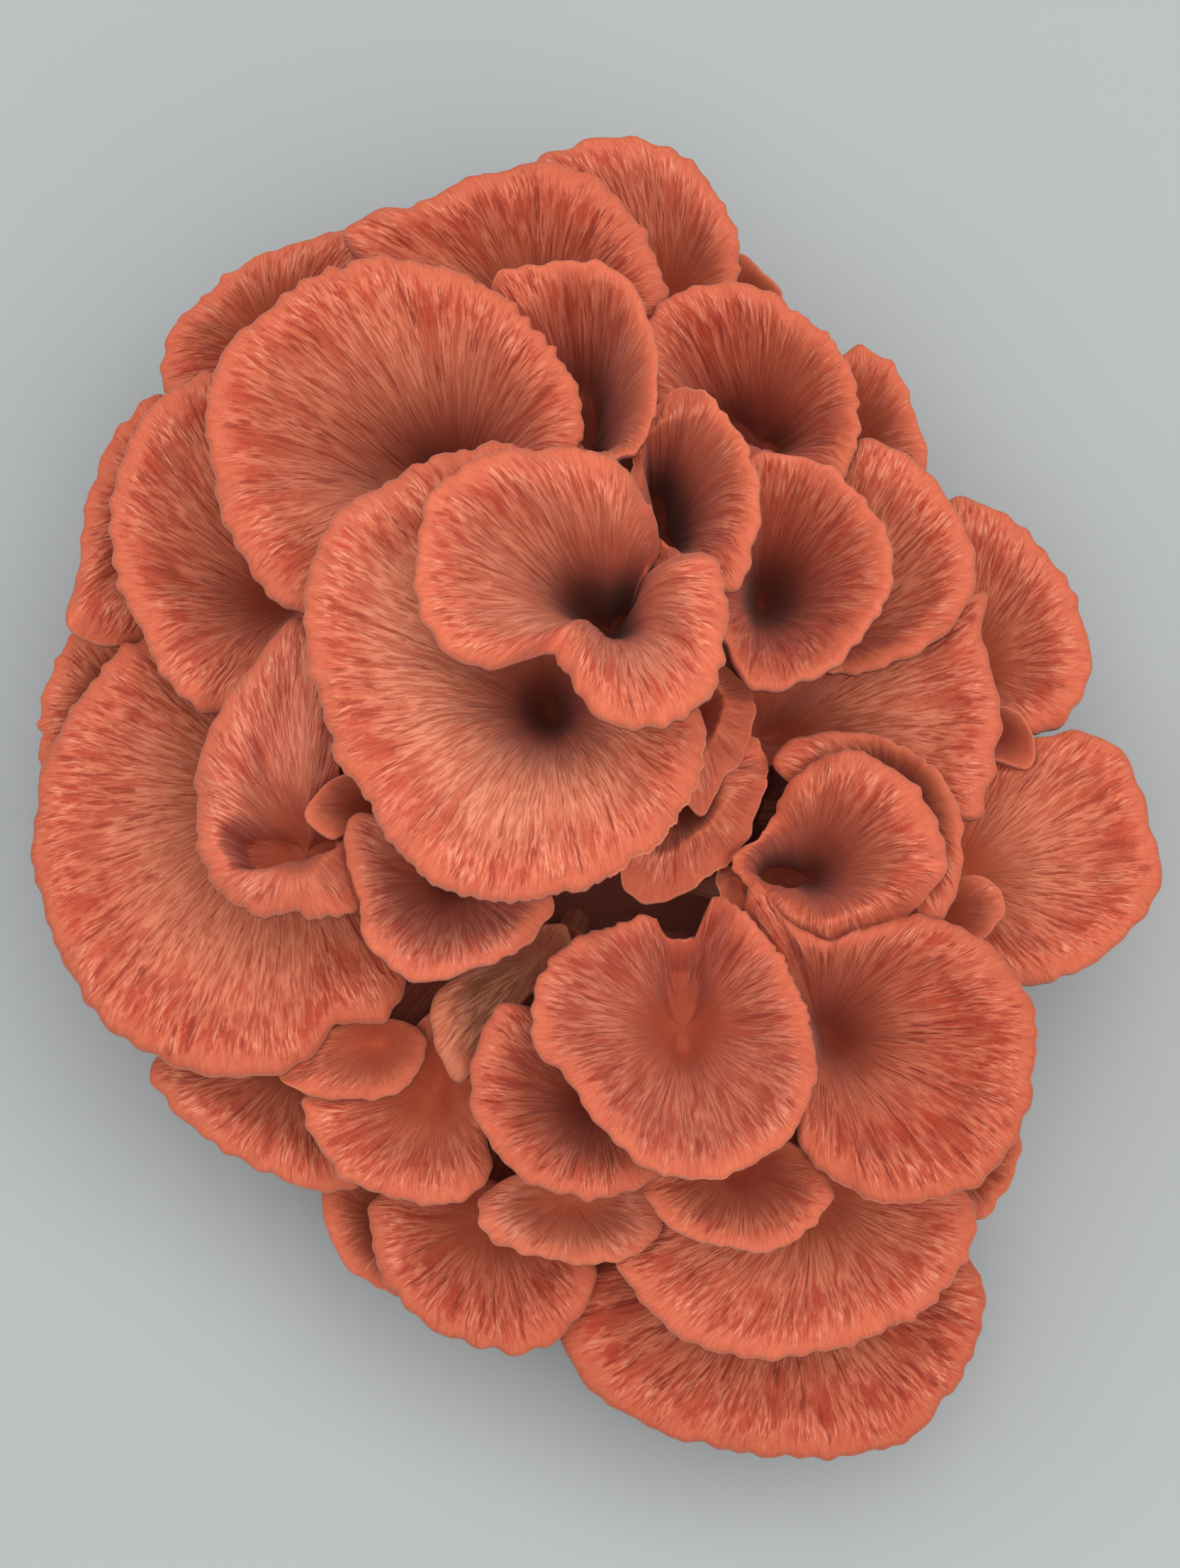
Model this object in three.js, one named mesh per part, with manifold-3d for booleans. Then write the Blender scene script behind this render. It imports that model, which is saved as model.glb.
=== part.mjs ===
// A cluster of pink oyster mushrooms: forty-odd caps on stems that spread from a fused base like spokes.
// Millimetres, +Z up. The origin is the centre of the flat face where the base was cut off, z = 0.
import * as THREE from "three";
import { mergeVertices } from "three/addons/utils/BufferGeometryUtils.js";
import Module from "manifold-3d";

const wasm = await Module();
wasm.setup();

// The fused base: a low dome, half widths along X and Y and its height.
const BASE_HALF_X = 41;
const BASE_HALF_Y = 44;
const BASE_HEIGHT = 46;
const BASE_COLUMNS = 28;
const BASE_ROWS = 7;
const BASE_LUMP = 0.05; // share of the radius by which the base swells and shrinks between stems

// The flesh of a cap, from its thin margin to its middle.
const MARGIN_THICKNESS = 1.8;
const MIDDLE_THICKNESS = 4.8;
const WALL = 1; // least thickness of a steep funnel, measured level
const NECK_DEPTH = 4; // a stem leans only from this far below the bottom of its funnel
const GILL_SHARE = 0.45; // how much of the flesh the grooves between two gills take away
const RIM_WAVE = 0.2; // the fine waves of the margin, in plan
const RIM_FLUTTER = 0.7; // and in height
const RIM_WAVE_LENGTH = 11;
const RIM_FLUTTER_LENGTH = 17;
const RIM_LIP = 1.7; // how far the margin's crest stands above the dish inside it
const RIM_LIP_WIDTH = 6;
const SLENDER_MARGIN = 15; // nearer to the eye than this, a margin has lower waves, roll and lip
const THROAT_SHARE = 0.7; // radius of a funnel's rounded bottom, as a share of its stem's radius
const SLIT_SHARPNESS = 6; // how narrow a funnel's slit is
const SLIT_REACH = 0.6; // how much of the way to the margin it may take
const DISH_SHARE = 0.5; // divided by a funnel's depth number, its share of even slope from margin to eye

// Where caps lie over each other the lower one is pressed down, clear of the one above.
const PRESS_GAP = 1.4;
const PRESS_SOFTNESS = 0.8;
const OPEN_SLOPE = 1.3; // how fast the room over a lower cap opens outside the margin of the upper one
const CUT_GAP = 0.4; // between two pieces where one is cut round the other
const SPECK = 0.004; // corners closer than this are one corner
const SLIVER = 0.03; // a face narrower than this along a cut is closed up

// Stems: each foot stands on the base, and feet keep this distance from each other.
const FOOT_SPREAD = 14;
const FOOT_ROUNDS = 80;
const FOOT_DEPTH = 0.8; // a stem ends this share of the way out from the origin, inside the base
const MOST_LEAN = 2.2; // a leaning stem's section widens along its lean, up to this much

const OUTLINE_SAMPLES = 720;
const ROUNDING = 0.5; // share of the way between two rim points over which the margin is evened, twice
const DIRECTIONS = 360;
const SKIN = { color: 0xd8694e, roughness: 0.85, metalness: 0 };
const BUTT = { color: 0xe9d9c4, roughness: 0.95, metalness: 0 };

// Each mushroom, from the crown down, so that a cap comes after every cap that lies over it.
// eye: the bottom of the funnel, where the stem meets the cap; level: the height of the margin where it
// is nearest to the eye and where it is furthest; depth: how quickly the funnel opens there, 1 for a cone,
// 7 for a trumpet; roll: how far the inrolled margin drops; stem: its radius; rim: the margin's points,
// from above; slit: the direction in degrees in which the funnel's bottom is drawn out, how far ahead and
// how far behind the eye, and how far the margin dips there.
const MUSHROOMS = [
  {
    name: "crown_funnel",
    eye: [3, 25, 60],
    level: [98, 114],
    depth: [12, 2.2],
    roll: [2.6, 2.6],
    stem: 6,
    slit: [42, 4, 0, 16],
    rim: [[-24, 15], [-25, 31], [-20, 40], [-2, 44], [4, 42], [8, 38], [11, 33], [8, 28], [13, 30],
      [17, 29], [20, 24], [20, 15], [17, 5], [7, 1], [1, 3.5], [-3, 9], [-5.5, 13.5], [-8, 13],
      [-15, 10]],
  },
  {
    name: "crown_collar",
    eye: [-6, 12, 56],
    level: [80, 100],
    depth: [7, 4.5],
    roll: [2.6, 2.6],
    stem: 7,
    rim: [[-17, 46], [-29, 42], [-38, 36], [-42, 28], [-43, 17], [-41, 9], [-37, -3], [-34, -6],
      [-29, -15], [-19, -22], [-2, -21], [11, -13], [13, -10], [17, -2], [17, 8], [2, 14], [-12, 22]],
  },
  {
    name: "upper_left_fan",
    eye: [-22, 51, 50],
    level: [84, 90],
    depth: [4, 2.8],
    roll: [2.6, 2.6],
    stem: 6,
    slit: [175, 9, 4, 0],
    rim: [[-59, 50], [-58, 61], [-52, 69], [-36, 79], [-26, 78], [-16, 75], [-3, 61], [-1, 51], [-5, 47],
      [-15, 44], [-23, 43], [-38, 24], [-46, 23], [-55, 34]],
  },
  {
    name: "upper_middle_funnel",
    eye: [0, 57, 52],
    level: [88, 88],
    depth: [3, 2.4],
    roll: [2.4, 2.4],
    stem: 5.5,
    slit: [100, 9, 3, 0],
    rim: [[-16, 76], [-8, 78], [3, 78], [10, 68], [8, 48], [-4, 48], [-5, 53], [-10, 59]],
  },
  {
    name: "right_crescent",
    eye: [12, 43, 52],
    level: [96, 94],
    depth: [3, 2.6],
    roll: [2.6, 2.6],
    stem: 5,
    slit: [104, 6, 3, 0],
    rim: [[12, 58], [18, 56], [23, 49], [26, 41], [23, 26], [18, 25], [13, 29], [8, 32], [7, 51]],
  },
  {
    name: "right_deep_funnel",
    eye: [28, 32, 46],
    level: [88, 88],
    depth: [3, 1.7],
    roll: [3.4, 3.4],
    stem: 5.5,
    rim: [[25, 48], [35, 47], [44, 39], [47, 29], [37, 14], [25, 11], [23, 14], [19, 21], [19, 35]],
  },
  {
    name: "upper_right_funnel",
    eye: [28, 60, 44],
    level: [74, 78],
    depth: [3, 2.4],
    roll: [2.4, 2.4],
    stem: 5.5,
    slit: [155, 7, 3, 0],
    rim: [[10, 74], [19, 78], [28, 77], [42, 64], [40, 46], [35, 45], [22, 50], [14, 54], [9, 62]],
  },
  {
    name: "low_centre_fan",
    eye: [14, -36, 54],
    level: [57, 80],
    depth: [2.2, 1.9],
    roll: [2, 2],
    stem: 7,
    slit: [88, 9, 0, 3],
    rim: [[-7, -30], [0, -25], [9, -21], [12, -27], [18, -27], [21, -19], [24, -22], [29, -27],
      [35, -43], [32, -55], [23, -62], [12, -63], [3, -57], [-5, -46], [-9, -43]],
  },
  {
    name: "low_right_fan",
    eye: [38, -38, 42],
    level: [70, 74],
    depth: [3, 2.4],
    roll: [2.8, 2.8],
    stem: 6.5,
    rim: [[26, -16], [29, -21], [37, -26], [40, -25], [51, -22], [60, -25], [68, -34], [69, -46],
      [66, -56], [61, -63], [47, -67], [36, -62], [32, -56], [33, -42], [26, -27], [24, -21]],
  },
  {
    name: "right_low_funnel",
    eye: [36, -12.5, 38],
    level: [56, 76],
    depth: [3, 4.5],
    roll: [2.6, 2.6],
    stem: 7.5,
    slit: [180, 8, 0, 3],
    rim: [[22, -12], [27, -9], [30.5, -2], [35, 2.5], [39.5, 4], [46, 2], [53, -5], [55.5, -14],
      [50, -22], [37, -28], [29, -21], [24, -16]],
  },
  {
    name: "right_ring",
    eye: [48, -2, 46],
    level: [64, 68],
    depth: [3, 2.4],
    roll: [2.4, 2.4],
    stem: 5,
    rim: [[28, 3], [34, 7], [43, 8], [54, 3], [59, -6], [56, -22], [50, -23], [42, -14], [38, -5]],
  },
  {
    name: "right_pale_fan",
    eye: [38, 27, 44],
    level: [60, 70],
    depth: [3, 2],
    roll: [2.4, 2.4],
    stem: 5.5,
    rim: [[43, 55], [50, 52], [57, 46], [61, 36], [60, 27], [46, 18], [34, 19], [32, 23], [40, 48]],
  },
  {
    name: "crown_leaf_right",
    eye: [15, 10, 62],
    level: [82, 87],
    depth: [3, 2],
    roll: [2.2, 2.2],
    stem: 4.5,
    rim: [[26, 12], [24, 3], [21, -1], [17, -7], [12, 0], [10, 9], [18, 18]],
  },
  {
    name: "crown_leaf_low",
    eye: [14, -1, 56],
    level: [76, 80],
    depth: [3, 2],
    roll: [2.2, 2.2],
    stem: 4.5,
    rim: [[28, 4], [27, -4], [23, -12], [15, -18], [7, -20], [4, -14], [8, -3], [14, 5], [24, 8]],
  },
  {
    name: "right_steep_fan",
    eye: [29, 11, 38],
    level: [54, 60],
    depth: [3, 2],
    roll: [2.4, 2.4],
    stem: 5.5,
    rim: [[64, 32], [63, 26], [66, 14], [65, 3], [61, -6], [44, 2], [31, 4], [24, 5], [24, 15], [40, 21],
      [49, 27]],
  },
  {
    name: "left_middle_cup",
    eye: [-22, -14, 52],
    level: [74, 82],
    depth: [3, 2.2],
    roll: [2.4, 2.4],
    stem: 5.5,
    rim: [[-37, -7], [-37, -17], [-35, -22], [-35, -26], [-28, -33], [-20, -32], [-12, -29], [-5, -21],
      [-12, -12], [-20, -9], [-30, -8]],
  },
  {
    name: "left_small_leaf",
    eye: [-33, -4, 64],
    level: [75, 77],
    depth: [2, 2],
    roll: [1.2, 1.2],
    stem: 2.5,
    rim: [[-44, -8], [-43, -4], [-39, -1], [-34, 1], [-30, -3], [-32, -8], [-37, -9], [-40, -11]],
  },
  {
    name: "left_lipped_funnel",
    eye: [-45, -11, 61],
    level: [80, 82],
    depth: [14, 1.5],
    roll: [7, 2.4],
    stem: 5.5,
    slit: [187, 11, 6, 0],
    rim: [[-45, 24], [-54, 14], [-60, 4], [-61, -7], [-59, -17], [-51, -23], [-45, -22], [-44, -23],
      [-36, -22], [-36, -17], [-39, -2], [-39, 9]],
  },
  {
    name: "centre_bud",
    eye: [23, -16, 62],
    level: [70, 70],
    depth: [2, 2],
    roll: [1.5, 1.5],
    stem: 3,
    rim: [[20, -14], [23, -13], [25, -18], [24, -21], [21, -20]],
  },
  {
    name: "left_upper_fan",
    eye: [-49, 32, 46],
    level: [66, 74],
    depth: [3, 2.2],
    roll: [2.4, 2.4],
    stem: 6,
    rim: [[-59, 65], [-66, 62], [-71, 57], [-75, 48], [-76, 36], [-71, 23], [-63, 11], [-56, 11],
      [-52, 18], [-42, 28], [-51, 45]],
  },
  {
    name: "top_wide_fan",
    eye: [-8, 77, 50],
    level: [68, 76],
    depth: [3, 2.2],
    roll: [2.4, 2.4],
    stem: 6,
    rim: [[-40, 86], [-33, 91], [-28, 92], [-18, 97], [-9, 99], [1, 97], [11, 83], [12, 73], [4, 70],
      [-4, 68], [-20, 70], [-32, 79]],
  },
  {
    name: "topmost_fan",
    eye: [13, 84, 42],
    level: [56, 64],
    depth: [3, 2],
    roll: [2.4, 2.4],
    stem: 5.5,
    rim: [[-10, 102], [-4, 105], [3, 107], [11, 106], [18, 102], [24, 92], [24, 83], [14, 76], [6, 83]],
  },
  {
    name: "low_left_cup",
    eye: [1, -50, 46],
    level: [64, 72],
    depth: [3, 2.2],
    roll: [2.4, 2.4],
    stem: 5.5,
    rim: [[-13, -35], [-17, -41], [-19, -49], [-13, -61], [-1, -66], [10, -63], [11, -59], [6, -46]],
  },
  {
    name: "low_stalked_fan",
    eye: [-12, -30, 56],
    level: [58, 65],
    depth: [2.4, 1.5],
    roll: [2, 2],
    stem: 4.5,
    rim: [[-25, -34], [-25, -39], [-24, -43], [-20, -48], [-16, -41], [-9, -29], [-10, -27]],
  },
  {
    name: "left_largest_fan",
    eye: [-50, 1, 38],
    level: [54, 61],
    depth: [3, 2.4],
    roll: [3, 3],
    stem: 7,
    rim: [[-72, 25], [-80, 18], [-86, 8], [-89, -3], [-89, -13], [-84, -28], [-78, -37], [-70, -43],
      [-56, -47], [-45, -44], [-40, -38], [-34, -38], [-31, -36], [-29, -27], [-38, -13], [-41, 5],
      [-50, 15], [-62, 24]],
  },
  {
    name: "right_small_leaf",
    eye: [56, -20, 48],
    level: [56, 58],
    depth: [2, 2],
    roll: [1.4, 1.4],
    stem: 3,
    rim: [[58, -15], [62, -14], [66, -17], [66, -21], [62, -25], [56, -26], [52, -23], [53, -17]],
  },
  {
    name: "right_leaf_tip",
    eye: [66, 10, 46],
    level: [54, 56],
    depth: [2, 2],
    roll: [1.2, 1.2],
    stem: 2.5,
    rim: [[62, 11], [66, 14], [70, 12], [72, 7], [71, 3], [68, 4], [64, 6]],
  },
  {
    name: "right_outer_fan",
    eye: [60, -12, 37],
    level: [48, 54],
    depth: [3, 2],
    roll: [2.4, 2.4],
    stem: 5.5,
    rim: [[77, 10], [83, 9], [88, 4], [92, -12], [91, -18], [87, -23], [77, -30], [67, -31], [58, -18],
      [56, -5], [62, 4]],
  },
  {
    name: "right_upper_fan",
    eye: [62, 23, 38],
    level: [48, 54],
    depth: [3, 2],
    roll: [2.4, 2.4],
    stem: 5.5,
    rim: [[59, 49], [66, 47], [72, 43], [79, 33], [82, 22], [77, 11], [68, 11], [58, 17], [57, 42]],
  },
  {
    name: "upper_right_shelf",
    eye: [41, 58, 44],
    level: [54, 60],
    depth: [3, 1.8],
    roll: [2.4, 2.4],
    stem: 4.5,
    rim: [[43, 73], [49, 70], [52, 64], [55, 53], [50, 49], [37, 52], [38, 65]],
  },
  {
    name: "top_right_tip",
    eye: [25, 81, 40],
    level: [50, 56],
    depth: [3, 2],
    roll: [2, 2],
    stem: 3.5,
    rim: [[24, 90], [29, 86], [32, 82], [31, 78], [21, 74], [16, 79]],
  },
  {
    name: "upper_left_shelf",
    eye: [-51, 74, 46],
    level: [54, 62],
    depth: [3, 1.8],
    roll: [2.4, 2.4],
    stem: 5.5,
    rim: [[-38, 91], [-51, 89], [-59, 85], [-66, 78], [-70, 70], [-68, 63], [-58, 62], [-44, 67],
      [-36, 76]],
  },
  {
    name: "left_edge_band",
    eye: [-64, 47, 46],
    level: [56, 63],
    depth: [3, 1.8],
    roll: [2.4, 2.4],
    stem: 5,
    rim: [[-70, 65], [-79, 55], [-82, 43], [-83, 32], [-84, 25], [-78, 23], [-69, 26], [-59, 31],
      [-57, 53], [-62, 64]],
  },
  {
    name: "left_outer_band",
    eye: [-75, 15, 36],
    level: [44, 50],
    depth: [3, 1.8],
    roll: [2.4, 2.4],
    stem: 5,
    rim: [[-86, 26], [-90, 16], [-90, 3], [-87, -6], [-78, -4], [-68, 5], [-67, 17], [-74, 26],
      [-81, 29]],
  },
  {
    name: "low_left_curl",
    eye: [-34, -40, 47],
    level: [50, 60],
    depth: [2.6, 1.8],
    roll: [2.2, 2.2],
    stem: 4.5,
    rim: [[-50, -44], [-46, -49], [-37, -50], [-29, -48], [-26, -40], [-30, -37], [-38, -37], [-45, -40]],
  },
  {
    name: "low_left_tongue",
    eye: [-25, -48, 42],
    level: [49, 56],
    depth: [3, 1.8],
    roll: [2.4, 2.4],
    stem: 5,
    rim: [[-46, -50], [-43, -58], [-38, -63], [-29, -66], [-20, -66], [-16, -62], [-17, -52], [-18, -43],
      [-23, -38], [-29, -43], [-36, -45], [-41, -47]],
  },
  {
    name: "bottom_middle_cup",
    eye: [24, -60, 46],
    level: [57, 66],
    depth: [3, 1.8],
    roll: [2.4, 2.4],
    stem: 5,
    rim: [[8, -64], [11, -69], [16, -72], [28, -74], [35, -70], [38, -63], [28, -55], [14, -58]],
  },
  {
    name: "bottom_small_cap",
    eye: [-3, -65, 44],
    level: [52, 54],
    depth: [3, 2],
    roll: [2.2, 2.2],
    stem: 4.5,
    rim: [[-18, -66], [-17, -71], [-11, -74], [1, -76], [8, -74], [12, -68], [8, -61], [-8, -60]],
  },
  {
    name: "bottom_right_shelf",
    eye: [36, -64, 38],
    level: [46, 53],
    depth: [3, 1.8],
    roll: [2.4, 2.4],
    stem: 5.5,
    rim: [[4, -72], [8, -82], [20, -90], [36, -90], [52, -84], [59, -77], [62, -66], [50, -60],
      [36, -58], [18, -64]],
  },
  {
    name: "bottom_streaked_cap",
    eye: [-16, -68, 32],
    level: [39, 45],
    depth: [3, 1.8],
    roll: [2.4, 2.4],
    stem: 5.5,
    rim: [[-36, -66], [-35, -73], [-33, -79], [-24, -87], [-12, -90], [-5, -88], [0, -81], [1, -75],
      [-5, -67], [-16, -62], [-28, -62]],
  },
  {
    name: "left_low_shelf",
    eye: [-47, -41, 34],
    level: [40, 45],
    depth: [3, 1.8],
    roll: [2.4, 2.4],
    stem: 5,
    rim: [[-72, -43], [-66, -53], [-60, -57], [-51, -62], [-38, -64], [-34, -56], [-38, -42], [-46, -36],
      [-60, -38]],
  },
  {
    name: "bottom_left_edge",
    eye: [-31, -68, 26],
    level: [32, 36],
    depth: [3, 2],
    roll: [2, 2],
    stem: 4.5,
    rim: [[-44, -64], [-43, -71], [-39, -77], [-31, -81], [-25, -79], [-23, -68], [-28, -61], [-41, -60]],
  },
  {
    name: "right_low_edge",
    eye: [58, -57, 34],
    level: [41, 46],
    depth: [3, 2],
    roll: [2, 2],
    stem: 4.5,
    rim: [[70, -53], [69, -60], [66, -66], [63, -69], [53, -64], [52, -55], [57, -49], [65, -48]],
  },
  {
    name: "bottom_largest_shelf",
    eye: [34, -74, 27],
    level: [34, 39],
    depth: [3, 1.8],
    roll: [2.6, 2.6],
    stem: 6.5,
    rim: [[-5, -88], [-2, -93], [1, -97], [12, -103], [24, -106], [36, -107], [50, -105], [55, -101],
      [61, -93], [64, -86], [63, -75], [50, -70], [34, -68], [8, -72], [-4, -80]],
  },
  {
    name: "centre_pin",
    eye: [-4, -24, 56],
    level: [62, 62],
    depth: [2, 2],
    roll: [1, 1],
    stem: 2.5,
    rim: [[-7, -24], [-4, -22], [-1, -24], [-1, -27], [-4, -28], [-7, -27]],
  },
];

// The margin of one cap as distances from its eye by direction, the furthest one where it folds back.
function outlineOf(mushroom, index) {
  const [eyeX, eyeY] = mushroom.eye;
  const points = mushroom.rim.map(([x, y]) => new THREE.Vector3(x - eyeX, y - eyeY, 0));
  const curve = new THREE.CatmullRomCurve3(points, true, "centripetal");
  const through = [];
  for (let i = 0; i < OUTLINE_SAMPLES; i++) through.push(curve.getPoint(i / OUTLINE_SAMPLES));
  const window = Math.round((ROUNDING * OUTLINE_SAMPLES) / points.length / 2);
  const samples = evened(evened(through, window), window);
  const steps = samples.map((p, i) => p.distanceTo(samples[(i + 1) % OUTLINE_SAMPLES]));
  const length = steps.reduce((sum, step) => sum + step, 0);
  const around = samples.map((p) => Math.atan2(p.y, p.x));
  const radii = new Array(DIRECTIONS).fill(0);
  samples.forEach((p, i) => {
    const q = samples[(i + 1) % OUTLINE_SAMPLES];
    const from = (around[i] / (2 * Math.PI)) * DIRECTIONS;
    const turn = turnBetween(around[i], around[(i + 1) % OUTLINE_SAMPLES]);
    const to = from + (turn / (2 * Math.PI)) * DIRECTIONS;
    for (let k = Math.ceil(Math.min(from, to)); k <= Math.max(from, to); k++) {
      const share = to === from ? 0 : (k - from) / (to - from);
      const radius = THREE.MathUtils.lerp(Math.hypot(p.x, p.y), Math.hypot(q.x, q.y), share);
      const direction = (k + DIRECTIONS) % DIRECTIONS;
      radii[direction] = Math.max(radii[direction], radius);
    }
  });
  return {
    ...mushroom,
    phase: index,
    length,
    steps,
    around,
    radii,
    evened: evenedRadii(radii),
    furthest: Math.max(...radii),
    waves: Math.round(length / RIM_WAVE_LENGTH),
    flutters: Math.round(length / RIM_FLUTTER_LENGTH),
  };
}

// Each point of a closed row as the mean of those up to so many steps away from it.
function evened(row, window) {
  return row.map((_, i) => {
    const mean = new THREE.Vector3();
    for (let k = -window; k <= window; k++) mean.add(row[(i + k + row.length) % row.length]);
    return mean.divideScalar(2 * window + 1);
  });
}

// The shorter way round from one direction to another.
function turnBetween(from, to) {
  return Math.atan2(Math.sin(to - from), Math.cos(to - from));
}

// The logarithm of the distances as a constant and two waves round the eye: the margin without its lobes.
function evenedRadii(radii) {
  const terms = [() => 0.5, Math.cos, Math.sin, (a) => Math.cos(2 * a), (a) => Math.sin(2 * a)];
  return terms.map((term) => {
    const parts = radii.map((radius, i) => Math.log(radius) * term((2 * Math.PI * i) / DIRECTIONS));
    return (2 * parts.reduce((total, share) => total + share, 0)) / DIRECTIONS;
  });
}

function evenedRadius(cap, angle) {
  const [mean, cos1, sin1, cos2, sin2] = cap.evened;
  const once = cos1 * Math.cos(angle) + sin1 * Math.sin(angle);
  const twice = cos2 * Math.cos(2 * angle) + sin2 * Math.sin(2 * angle);
  return Math.exp(mean + once + twice);
}

function marginRadius(cap, angle) {
  const place = (((angle / (2 * Math.PI)) % 1) + 1) * DIRECTIONS;
  const low = Math.floor(place);
  const next = cap.radii[(low + 1) % DIRECTIONS];
  const radius = THREE.MathUtils.lerp(cap.radii[low % DIRECTIONS], next, place - low);
  const wave = RIM_WAVE * Math.sin(cap.waves * angle + cap.phase);
  return radius + wave * Math.min(radius / SLENDER_MARGIN, 1);
}

// How far the bottom of a funnel reaches out as a slit in a direction, and how much its margin dips there.
function slitToward(cap, angle) {
  const [direction, ahead, behind, dip] = cap.slit ?? [0, 0, 0, 0];
  const along = Math.cos(angle - THREE.MathUtils.degToRad(direction));
  const narrow = Math.abs(along) ** SLIT_SHARPNESS;
  return along > 0 ? [ahead * narrow, dip * narrow ** 3] : [behind * narrow, 0];
}

// The top of a cap as it grows with nothing over it. Its rings even out towards the eye.
function freeTop(cap, x, y) {
  const [eyeX, eyeY, eyeZ] = cap.eye;
  const angle = Math.atan2(y - eyeY, x - eyeX);
  const radius = Math.hypot(x - eyeX, y - eyeY);
  const margin = marginRadius(cap, angle);
  const slender = Math.min(margin / SLENDER_MARGIN, 1);
  const share = Math.min(radius / margin, 1);
  const here = THREE.MathUtils.lerp(evenedRadius(cap, angle), margin, share);
  const reach = Math.min(here / cap.furthest, 1);
  const flutter = RIM_FLUTTER * Math.sin(cap.flutters * angle + 1.7 * cap.phase) * Math.min(1.5 * reach, 1);
  const [slit, dip] = slitToward(cap, angle);
  const level = THREE.MathUtils.lerp(cap.level[0], cap.level[1], reach) + flutter - dip;
  const depth = THREE.MathUtils.lerp(cap.depth[0], cap.depth[1], reach);
  const drop = THREE.MathUtils.lerp(cap.roll[0], cap.roll[1], reach) * slender;
  const band = Math.min((2 * drop) / margin, 0.6);
  const rolled = THREE.MathUtils.clamp((share - 1 + band) / band, 0, 1);
  const crest = 1 + ((share - 1 + band) * margin) / RIM_LIP_WIDTH;
  const lip = RIM_LIP * THREE.MathUtils.smoothstep(crest, 0, 1) * slender;
  const bottom = Math.min(slit, SLIT_REACH * here);
  const out = THREE.MathUtils.clamp((radius - bottom) / (here - bottom), 0, 1);
  const throat = (THROAT_SHARE * cap.stem) / here;
  const climb = (Math.hypot(out, throat) - throat) / (Math.hypot(1, throat) - throat);
  const left = Math.max(1 - climb, 0);
  const fall = (level - eyeZ) * THREE.MathUtils.lerp(left ** depth, left, DISH_SHARE / depth);
  return {
    height: level + lip - fall - drop * (1 - Math.sqrt(Math.max(1 - rolled * rolled, 0))),
    share,
    outside: Math.max(radius - margin, 0),
  };
}

function flesh(share) {
  return MARGIN_THICKNESS + (MIDDLE_THICKNESS - MARGIN_THICKNESS) * (1 - share) ** 1.5;
}

function softLower(a, b) {
  const least = Math.min(a, b);
  const sum = Math.exp((least - a) / PRESS_SOFTNESS) + Math.exp((least - b) / PRESS_SOFTNESS);
  return least - PRESS_SOFTNESS * Math.log(sum);
}

// The top of cap number index at a place, pressed down under every cap before it in the list.
function pressedTop(caps, index, x, y) {
  let ceiling = 1000;
  for (let i = 0; i < index; i++) {
    const { height, share, outside } = freeTop(caps[i], x, y);
    const top = softLower(height, ceiling - PRESS_GAP);
    ceiling = Math.min(ceiling, top - flesh(share) + OPEN_SLOPE * outside);
  }
  return softLower(freeTop(caps[index], x, y).height, ceiling - PRESS_GAP);
}

// Directions of a cap's columns, at nearly equal steps along its margin.
function columnAngles(cap, columns) {
  const turned = [cap.around[0]];
  for (let i = 1; i < OUTLINE_SAMPLES; i++) {
    turned.push(turned[i - 1] + turnBetween(cap.around[i - 1], cap.around[i]));
  }
  const way = Math.sign(turned[OUTLINE_SAMPLES - 1] - turned[0]);
  const keys = [];
  const rising = [];
  let walked = 0;
  turned.forEach((angle, i) => {
    const turn = way * (angle - turned[0]);
    rising.push(Math.max(turn, i ? rising[i - 1] : 0));
    keys.push((0.85 * walked) / cap.length + (0.15 * rising[i]) / (2 * Math.PI));
    walked += cap.steps[i];
  });
  keys.push(1);
  rising.push(2 * Math.PI);
  const result = [];
  for (let i = 0, k = 0; i < columns; i++) {
    while (keys[k + 1] < i / columns) k++;
    const share = (i / columns - keys[k]) / Math.max(keys[k + 1] - keys[k], 1e-9);
    result.push(turned[0] + way * THREE.MathUtils.lerp(rising[k], rising[k + 1], share));
  }
  return way > 0 ? result : result.reverse();
}

// The point where a ray from the origin leaves the base, no higher than the given height.
function onBase(ray, highest) {
  const x = ray.x / BASE_HALF_X;
  const y = ray.y / BASE_HALF_Y;
  const z = ray.z / BASE_HEIGHT;
  const point = ray.clone().divideScalar(Math.hypot(x, y, z));
  if (point.z > highest) {
    const wanted = Math.sqrt(1 - (highest / BASE_HEIGHT) ** 2);
    const present = Math.hypot(point.x / BASE_HALF_X, point.y / BASE_HALF_Y);
    point.set((point.x / present) * wanted, (point.y / present) * wanted, highest);
  }
  return point;
}

// A foot for each stem: straight below its eye towards the origin, then pushed apart until none crowd.
function placeFeet(caps) {
  const highest = caps.map((cap) => Math.max(cap.eye[2] - 10, 7));
  let feet = caps.map((cap, i) => {
    const ray = new THREE.Vector3(cap.eye[0], cap.eye[1], Math.max(cap.eye[2] - 4, 8));
    return onBase(ray, highest[i]);
  });
  for (let round = 0; round < FOOT_ROUNDS; round++) {
    feet = feet.map((foot, i) => {
      const moved = foot.clone();
      feet.forEach((other, k) => {
        const away = foot.clone().sub(other);
        const push = 0.25 * Math.max(FOOT_SPREAD - away.length(), 0);
        if (k !== i) moved.addScaledVector(away.normalize(), push);
      });
      moved.z = Math.max(moved.z, 6);
      return onBase(moved, highest[i]);
    });
  }
  return feet;
}

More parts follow.
